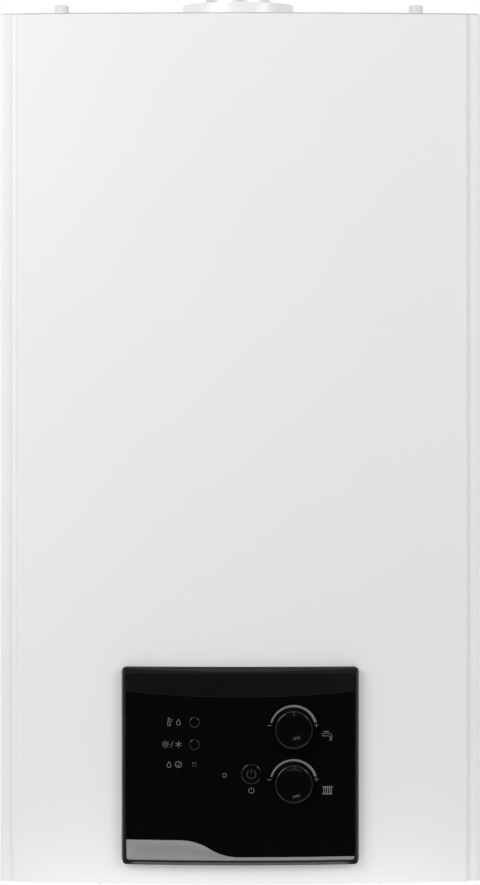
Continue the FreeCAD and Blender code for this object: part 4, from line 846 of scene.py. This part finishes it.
# %% Scales
SCALE_RADIUS = 0.0204
SCALE_DROP = 0.00065
SCALE_ANGLES = (164, 17)
SCALE_WIDTHS = (0.0014, 0.0022)
SCALE_POINTS = 64
LESS_PLACE = (-0.0205, 0.0032)
MORE_PLACE = (0.0193, 0.0032)
SIGN_WIDTH = 0.00045
less = [line((-1.9, 0), (1.9, 0))]
more = less + [line((0, -1.9), (0, -0.3)), line((0, 0.3), (0, 1.9))]
for node in ("hot_water_knob", "heating_knob"):
    spot = spot_of(node) - (0, SCALE_DROP)
    width = np.linspace(*SCALE_WIDTHS, SCALE_POINTS)
    angle = np.radians(np.linspace(*SCALE_ANGLES, SCALE_POINTS))
    reach = (SCALE_RADIUS - width / 2)[:, None]
    path = spot + reach * np.column_stack([np.cos(angle), np.sin(angle)])
    surface(f"{node}_scale", [stroke(path, width)], "print_grey")
    sign(f"{node}_less", spot + LESS_PLACE, less, SIGN_WIDTH)
    sign(f"{node}_more", spot + MORE_PLACE, more, SIGN_WIDTH)
print("scales printed")

# %% [markdown]
# Small pictures beside the controls say what each is for: a tap and a radiator by the knobs; a
# thermometer and a drop, a sun and a snow star, and a gauge and a drop on the left; and the usual
# on-off mark under and on the round button. They are drawn from straight runs and arcs like any
# line drawing, with all points in millimetres.

# %% Pictures beside the knobs
LINE_WIDTH = 0.0004
RADIATOR_LINE = 0.0006
TAP_PLACE = (0.0738, -0.5628)
RADIATOR_PLACE = (0.0738, -0.6091)
tap = [
    line((-3.4, 3.7), (1.2, 3.7)),
    line((-1.1, 3.5), (-1.1, 2.3)),
    line((-4.2, 2.1), (0.9, 2.1)),
    arc((0.9, -1.0), 3.1, 90, 0, 12),
    line((4.2, -1.2), (1.8, -1.2)),
    arc((0.9, -1.0), 0.9, 10, 90, 8),
    line((0.7, -0.1), (-4.2, -0.1)),
    line((-4.1, 0.1), (-4.1, 1.9)),
    arc((2.9, -3.2), 0.8, 0, 360, 17),
]
bars = np.linspace(-3.2, 3.2, 5)
radiator = [line((x, -3.6), (x, 3.6)) for x in bars]
radiator += [line((-4.2, 2.8), (4.6, 2.8)), line((-4.2, -2.8), (4.2, -2.8))]
sign("tap_sign", TAP_PLACE, tap, LINE_WIDTH)
sign("radiator_sign", RADIATOR_PLACE, radiator, RADIATOR_LINE)
print("knob pictures printed")

# %% [markdown]
# The buttons' pictures are smaller. Each is set off to the left from the middle of its own button
# or lens, so it keeps its line with that piece; the ring round the flame lens isn't set off. Rays
# and spokes are one run turned round a circle, and the drop is one closed curve: its half width
# follows a sine that thins towards the tip.

# %% Pictures beside the buttons


def spokes(angles, inner, outer):
    """Straight runs from an inner circle to an outer one, one for each angle in degrees."""
    rays = [np.array([np.cos(angle), np.sin(angle)]) for angle in np.radians(angles)]
    return [line(inner * ray, outer * ray) for ray in rays]


turn = np.radians(np.linspace(0, 360, 41))
drop = np.column_stack([2.4 * np.sin(turn) * np.sin(turn / 2) ** 1.6, 2.6 * np.cos(turn)])
sun = [arc((0, 0), 1.4, 0, 360, 25)] + spokes(np.arange(0, 360, 45), 2.3, 3.3)
snow = spokes(np.arange(30, 390, 60), 0.2, 2.8)
gauge = [arc((0, 0), 2.6, 0, 360, 41), line((0, 0), (1.2, 1.4)), line((-1.4, -1.3), (1.4, -1.3))]
stem = [line((-0.8, -0.9), (-0.8, 2.3)), arc((0, 2.4), 0.8, 180, 0), line((0.8, 2.3), (0.8, -0.9))]
thermometer = [
    np.vstack(stem),
    arc((0, -1.9), 1.3, 125, 415, 21),
    line((2.0, 2.2), (3.1, 2.2)),
    line((2.0, 0.6), (3.1, 0.6)),
]
slash = [line((-0.9, -2.6), (0.9, 2.6))]
flame = [arc((0, 0), 1.65, 0, 360, 41)]
# each picture's piece, its strokes and its way to the left of the piece in metres
BUTTON_PICTURES = {
    "drop_sign": ("eco_button", [drop], 0.0135),
    "thermometer_sign": ("eco_button", thermometer, 0.0215),
    "snow_sign": ("season_button", snow, 0.0135),
    "slash_sign": ("season_button", slash, 0.0190),
    "sun_sign": ("season_button", sun, 0.0245),
    "gauge_sign": ("pressure_lens", gauge, 0.0135),
    "water_sign": ("pressure_lens", [drop], 0.0215),
    "flame_ring": ("flame_lens", flame, 0),
}
for name, (node, paths, shift) in BUTTON_PICTURES.items():
    sign(name, spot_of(node) - (shift, 0), paths, LINE_WIDTH)
print("button pictures printed")

# %% [markdown]
# The on-off mark is a ring that is open at the top with an upright bar in the gap. The one on the
# button has to follow the button's dish, so it is given the dish's own formula for its depth.

# %% On-off mark
SIGN_DROP = 0.0141
MARK_GROWTH = 1.6
MARK_WIDTH = 0.0010
on_off = [arc((0, 0), 2.3, 125, 415, 41), line((0, 0.4), (0, 2.8))]
reset_spot = spot_of("reset_button")
reset_low, reset_high, _ = middle_of("reset_button")
reset_edge = (reset_high[0] - reset_low[0]) / 2 - BUTTON_EDGE - LAND_WIDTH


def reset_depth(x, z):
    """The round button's dish: d (1 - (r / edge)^4) behind its rim."""
    distance = np.hypot(x - reset_spot[0], z - reset_spot[1])
    return reset_low[1] + RESET_DISH * (1 - (distance / reset_edge) ** 4)


moulded("mark_grey", (0.022, 0.022, 0.022), 0.5, 0.000002, 0.2)
sign("on_off_sign", reset_spot - (0, SIGN_DROP), on_off, LINE_WIDTH)
large_mark = [MARK_GROWTH * path for path in on_off]
sign("on_off_mark", reset_spot, large_mark, MARK_WIDTH, "mark_grey", "reset_button", reset_depth)
print("on-off marks printed")

# %% [markdown]
# Under the boiler five brass tails take the pipes. Each has a hexagon for the spanner and a pipe
# thread. A thread is one surface: the radius falls and rises as a cosine, and its phase turns once
# with every pitch, which makes the ridge a helix. The rounded ridge is close to a real pipe thread.

# %% Threaded tails
THREAD_PITCH = 0.001814
THREAD_DEPTH = 0.00105
THREAD_STOP = 0.0008
THREAD_FADE = 0.002
ROWS_PER_PITCH = 8
END_CHAMFER = 0.0005
NUT_HEIGHT = 0.012
NUT_FACE = 0.97
NUT_SHARES = np.linspace(0.02, 0.98, 17)
CHAMFER_SLOPE = 1.73
TAIL_STEPS = 72
PAIR_OFFSET = 0.001
# the radii of thread and bore and the width across the hexagon's flats, in metres
TAILS = {
    "heating_tails": (0.01322, 0.0095, 0.034),
    "water_tails": (0.01048, 0.007, 0.028),
    "gas_tail": (0.01322, 0.0095, 0.034),
}


def hexagon(across_flats, steps):
    """The radius of a hexagon at each angle: half its width over the cosine from a flat's middle."""
    angle = np.linspace(0, 360, steps, endpoint=False)
    return across_flats / 2 / np.cos(np.radians(angle % 60 - 30))


def tail(x, y, low, high, thread, bore, across_flats):
    """A hexagon with chamfered ends, a threaded end below it and a bore, as one closed ring.

    The chamfers are cones that cut the hexagon: the radius is the smaller one of both.
    """
    six = hexagon(across_flats, TAIL_STEPS)
    inner = NUT_FACE * across_flats / 2
    rows = [(bore, high), (inner, high)]
    for share in NUT_SHARES:
        fall = share * NUT_HEIGHT
        cone = inner + CHAMFER_SLOPE * min(fall, NUT_HEIGHT - fall)
        rows.append((np.minimum(six, cone), high - fall))
    shoulder = high - NUT_HEIGHT
    neck = thread - THREAD_DEPTH
    rows += [(inner, shoulder), (neck, shoulder), (neck, shoulder - THREAD_PITCH)]
    turn = np.linspace(0, 1, TAIL_STEPS, endpoint=False)
    start, stop = shoulder - THREAD_PITCH, low + THREAD_STOP
    for height in np.linspace(start, stop, int((start - stop) / THREAD_PITCH * ROWS_PER_PITCH)):
        ridge = 0.5 + 0.5 * np.cos(2 * np.pi * (height / THREAD_PITCH - turn))
        begun = np.clip((start - height) / THREAD_PITCH, 0, 1)
        grown = begun * np.clip((height - low) / THREAD_FADE, 0, 1)
        rows.append((neck + THREAD_DEPTH * ridge * grown, height))
    rows += [(neck - END_CHAMFER, low), (bore, low), (bore, high)]
    return turned(rows, (x, y, 0), "z", TAIL_STEPS)


for node, (thread, bore, across_flats) in TAILS.items():
    low, high, middle = middle_of(node)
    offset = (high[0] - low[0]) / 2 - across_flats / math.sqrt(3)
    places = [middle[0]] if offset < PAIR_OFFSET else [-offset, offset]
    grids = [tail(x, middle[1], low[2], high[2], thread, bore, across_flats) for x in places]
    print(surface(f"{node}_threaded", grids, "brass", "boiler", [node], sharp=60).name)

# %% [markdown]
# Sheet metal is held by screws with a hexagon head on a washer face, and by rivets at the back.
# Both are turned shapes that are set in rows; the screw's head takes the hexagon's radius. Each
# sinks a little way into its sheet, so no gap is left below it.

# %% Screws and rivets
HEAD_FLATS = 0.007
HEAD_FACE = 0.0033
HEAD_CHAMFER = 0.0004
HEAD_HUB = 0.0003
HEAD_STEPS = 36
RIVET_RADIUS = 0.0032
RIVET_HEIGHT = 0.0013
RIVET_HUB = 0.0002
RIVET_STEPS = 32
SINK = 0.0002


def screw_head(place, side):
    """A hexagon head 3.4 mm high on its washer, turned about z; side is 1 up and -1 down.

    The rows of radius and height run from the dent in its top to the washer's underside.
    """
    six = hexagon(HEAD_FLATS, HEAD_STEPS)
    rows = [(HEAD_HUB, 0.0029), (0.0024, 0.0029), (0.0027, 0.0034), (HEAD_FACE, 0.0034)]
    rows += [(np.minimum(six, HEAD_FACE + HEAD_CHAMFER), 0.0031), (six, 0.0028), (six, 0.0011)]
    rows += [(0.0052, 0.0010), (0.0056, 0.0006), (0.0056, -SINK), (HEAD_HUB, -SINK)]
    return turned([(radius, side * height) for radius, height in rows], place, "z", HEAD_STEPS)


def rivet(place):
    """A rivet's head on a rear face: a dome h (1 - (r / R)^2), turned about y."""
    across = np.linspace(RIVET_HUB, RIVET_RADIUS, 8)
    rows = [(radius, RIVET_HEIGHT * (1 - (radius / RIVET_RADIUS) ** 2)) for radius in across]
    return turned(rows + [(RIVET_RADIUS, -SINK), (RIVET_HUB, -SINK)], place, "y", RIVET_STEPS)


FLANGE_INSET = 0.008
FLANGE_THICKNESS = 0.002
TOP_ROWS = (-0.1975, 0.1975)
TOP_DEPTHS = (-0.26, -0.15, -0.04)
UNDER_ROW = (-0.12, 0.12)
UNDER_DEPTH = -0.2935
RIVET_ROWS = (-0.178, 0.178)
RIVET_HEIGHTS = np.linspace(-0.62, 0.02, 6)
collar_low, collar_high, collar_middle = middle_of("flue_collar")
corner = (collar_high[0] - collar_low[0]) / 2 - FLANGE_INSET
quarters = [(-1, -1), (-1, 1), (1, -1), (1, 1)]
flange_top = collar_low[2] + FLANGE_THICKNESS
collar_spots = [(x * corner, collar_middle[1] + y * corner, flange_top) for x, y in quarters]
casing_low, casing_high, _ = middle_of("front_casing")
top_spots = [(x, y, casing_high[2]) for x in TOP_ROWS for y in TOP_DEPTHS]
under_spots = [(x, UNDER_DEPTH, casing_low[2]) for x in UNDER_ROW]
screws = {
    "collar_screws": (collar_spots, 1),
    "top_screws": (top_spots, 1),
    "casing_screws": (under_spots, -1),
}
for name, (spots, side) in screws.items():
    surface(name, [screw_head(spot, side) for spot in spots], "steel", sharp=30)
    print(name, len(spots))
rear = middle_of("back_frame")[1][1]
rivet_spots = [(x, rear, z) for x in RIVET_ROWS for z in RIVET_HEIGHTS]
surface("frame_rivets", [rivet(spot) for spot in rivet_spots], "alu_sheet")
print("rivets:", len(rivet_spots))

# %% [markdown]
# A large flat sheet rattles, so its maker presses long beads into it. Each bead is a low ridge
# with round ends: across it a cosine, along it full height until the end, where both the height
# and the width follow a quarter of a circle.

# %% Pressed beads
BEAD_ROWS = (-0.1, 0, 0.1)
BEAD_LOW, BEAD_HIGH = -0.56, -0.08
BEAD_RADIUS = 0.008
BEAD_HEIGHT = 0.003
BEAD_TIP = 0.03
FIRST_ANGLE = 0.02


def bead(x, y):
    """A ridge along z on a rear face: height h (1 + cos(pi u)) / 2 for u from -1 to 1 across it."""
    share = np.clip(np.sin(np.linspace(0, np.pi / 2, 10)), BEAD_TIP, 1)
    share = np.concatenate([share, share[::-1]])[:, None]
    rising = BEAD_RADIUS * (1 - np.cos(np.linspace(FIRST_ANGLE, np.pi / 2, 10)))
    falling = BEAD_RADIUS * (1 - np.cos(np.linspace(np.pi / 2, FIRST_ANGLE, 10)))
    along = np.concatenate([BEAD_LOW + rising, BEAD_HIGH - falling])
    across = np.linspace(-1, 1, 17)
    ridge = 0.5 + 0.5 * np.cos(np.pi * across)
    loop_x = np.concatenate([across, across[-2:0:-1]]) * BEAD_RADIUS
    loop_y = np.concatenate([ridge * BEAD_HEIGHT, np.zeros(len(across) - 2)])
    grid = np.empty((len(along), len(loop_x), 3))
    grid[..., 0] = x + loop_x * share
    grid[..., 1] = y - SINK + loop_y * share
    grid[..., 2] = along[:, None]
    return grid


beads = [bead(x, rear) for x in BEAD_ROWS]
surface("frame_beads", beads, "zinc_sheet", sharp=60)
print("beads:", len(beads))

# %% [markdown]
# The two pegs on the top are moulded plugs with a rounded crown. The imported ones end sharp, so a
# turned peg with an arc at its crown stands for them.

# %% Pegs
PEG_RADIUS = 0.0065
PEG_HUB = 0.0003
PEG_STEPS = 64
PEG_OVERHANG = 0.002
CROWN_RADIUS = 0.0012
BASE_WIDTH = 0.0007
BASE_HEIGHT = 0.0018
WAIST_HEIGHT = 0.0022
low, high, middle = middle_of("top_pegs")
peg_x = (high[0] - low[0]) / 2 - PEG_RADIUS - PEG_OVERHANG
crown = arc((PEG_RADIUS - CROWN_RADIUS, high[2] - CROWN_RADIUS), CROWN_RADIUS, 90, 0, 6)
base = PEG_RADIUS + BASE_WIDTH
waist = [(PEG_RADIUS, low[2] + WAIST_HEIGHT), (base, low[2] + BASE_HEIGHT), (base, low[2])]
profile = np.vstack([[(PEG_HUB, high[2])], crown, waist, [(PEG_HUB, low[2])]])
pegs = [turned(profile, (x, middle[1], 0), "z", PEG_STEPS) for x in (-peg_x, peg_x)]
surface("top_pegs_turned", pegs, "white_plastic", "boiler", ["top_pegs"])
print("pegs at", round(peg_x, 4))

# %% [markdown]
# The casing's front is pressed: beside each narrow strip a small step leads up to the bowed
# middle, and the fold that ends the step is round. A thin rod of paint-covered metal laid along
# each fold gives it that round edge, which catches the lamps. Along the upper edge a thin rod in
# a mid grey draws the darker line that the casing's top edge shows: that grey is painted shade.

# %% Folds and painted shade along the top edge
STRIP_EDGE = 0.1925
FOLD_DEPTH = -0.3025
FRONT_BOW = 0.012
FOLD_RADIUS = 0.0016
FOLD_INSET = 0.0011
FOLD_GAP = 0.0005
FOLD_STEPS = 32
STRIP_RADIUS = 0.0005
STRIP_STEPS = 12
STRIP_SUNK = 0.0004
SIDE_PLAN = np.array([(0.1945, -0.3), (0.2015, -0.3), (0.2038, -0.2988)])


def rod(path, radius, steps):
    """A round rod along a path: circles square to the level part of its tangent.

    The radius may change along the path. An upright path takes its circles in the level plane.
    """
    path = np.asarray(path, dtype=float)
    radius = np.broadcast_to(radius, len(path))[:, None, None]
    tangent = np.gradient(path, axis=0)
    tangent /= np.linalg.norm(tangent, axis=1)[:, None]
    upright = np.abs(tangent[:, 2:]) > 0.5
    out = np.where(upright, (1.0, 0.0, 0.0), np.cross(tangent, (0.0, 0.0, 1.0)))
    up = np.where(upright, (0.0, 1.0, 0.0), (0.0, 0.0, 1.0))
    angle = np.linspace(0, 2 * np.pi, steps, endpoint=False)[None, :, None]
    return path[:, None] + radius * (np.cos(angle) * out[:, None] + np.sin(angle) * up[:, None])


heights = np.linspace(casing_low[2] + FOLD_GAP, casing_high[2] - FOLD_GAP, 25)
folds = []
for side in (-1, 1):
    fold = np.empty((len(heights), 3))
    fold[:] = (side * (STRIP_EDGE - FOLD_INSET), FOLD_DEPTH + FOLD_INSET, 0)
    fold[:, 2] = heights
    folds.append(rod(fold, FOLD_RADIUS, FOLD_STEPS))
surface("casing_folds", folds, "white_enamel", sharp=60)
bow_radius = (STRIP_EDGE**2 + FRONT_BOW**2) / (2 * FRONT_BOW)
across = np.linspace(-STRIP_EDGE, STRIP_EDGE, 61)
depth = FOLD_DEPTH - FRONT_BOW + bow_radius - np.sqrt(bow_radius**2 - across**2)
bowed = np.column_stack([across, depth])
plan = np.vstack([SIDE_PLAN[::-1] * (-1, 1), bowed, SIDE_PLAN])
top = np.full(len(plan), casing_high[2])
edge = np.column_stack([plan[:, 0], plan[:, 1] + STRIP_SUNK, top])
# painted shade: a mid grey, darker than the enamel, for the dark line along the casing's top edge
moulded("edge_shade_grey", (0.46, 0.46, 0.46), 0.6, 0.00001, 0.3)
strip = rod(edge, STRIP_RADIUS, STRIP_STEPS)
surface("casing_edge_shade_line", [strip], "edge_shade_grey")
print("folds:", len(folds))

# %% [markdown]
# The bezel of the control panel ends below in a satin lip, which takes the light from underneath
# and draws a grey line along the panel's lower edge. It is one more rod, laid along the bow, and
# it thins out at both ends. Its grey is far lighter than the bezel's black: part of that line is
# light from the lamp below, and part is painted highlight.

# %% Bezel lip
LIP_RADIUS = 0.0013
LIP_SUNK = 0.62 * LIP_RADIUS
LIP_END = 0.0046
LIP_TAPER = 0.008
LIP_TIP = 0.02
LIP_STEPS = 16
lip_x = np.linspace(bezel_low[0] + LIP_END, bezel_high[0] - LIP_END, 41)
lip_y = PANEL_CENTRE - np.sqrt(PANEL_RADIUS**2 - lip_x**2) + LIP_SUNK
lip = np.column_stack([lip_x, lip_y, np.full(len(lip_x), bezel_low[2] + LIP_RADIUS)])
# painted highlight: a grey far lighter than the bezel's black plastic, for the lit lower edge
moulded("lip_highlight_grey", (0.076, 0.076, 0.077), 0.5, 0.00001, 0.3)
thinning = np.sqrt(np.clip((lip_x[-1] - np.abs(lip_x)) / LIP_TAPER, LIP_TIP, 1))
lip_rod = rod(lip, LIP_RADIUS * thinning, LIP_STEPS)
surface("bezel_lip", [lip_rod], "lip_highlight_grey")
print("lip", round(lip_x[-1] - lip_x[0], 3), "m wide")
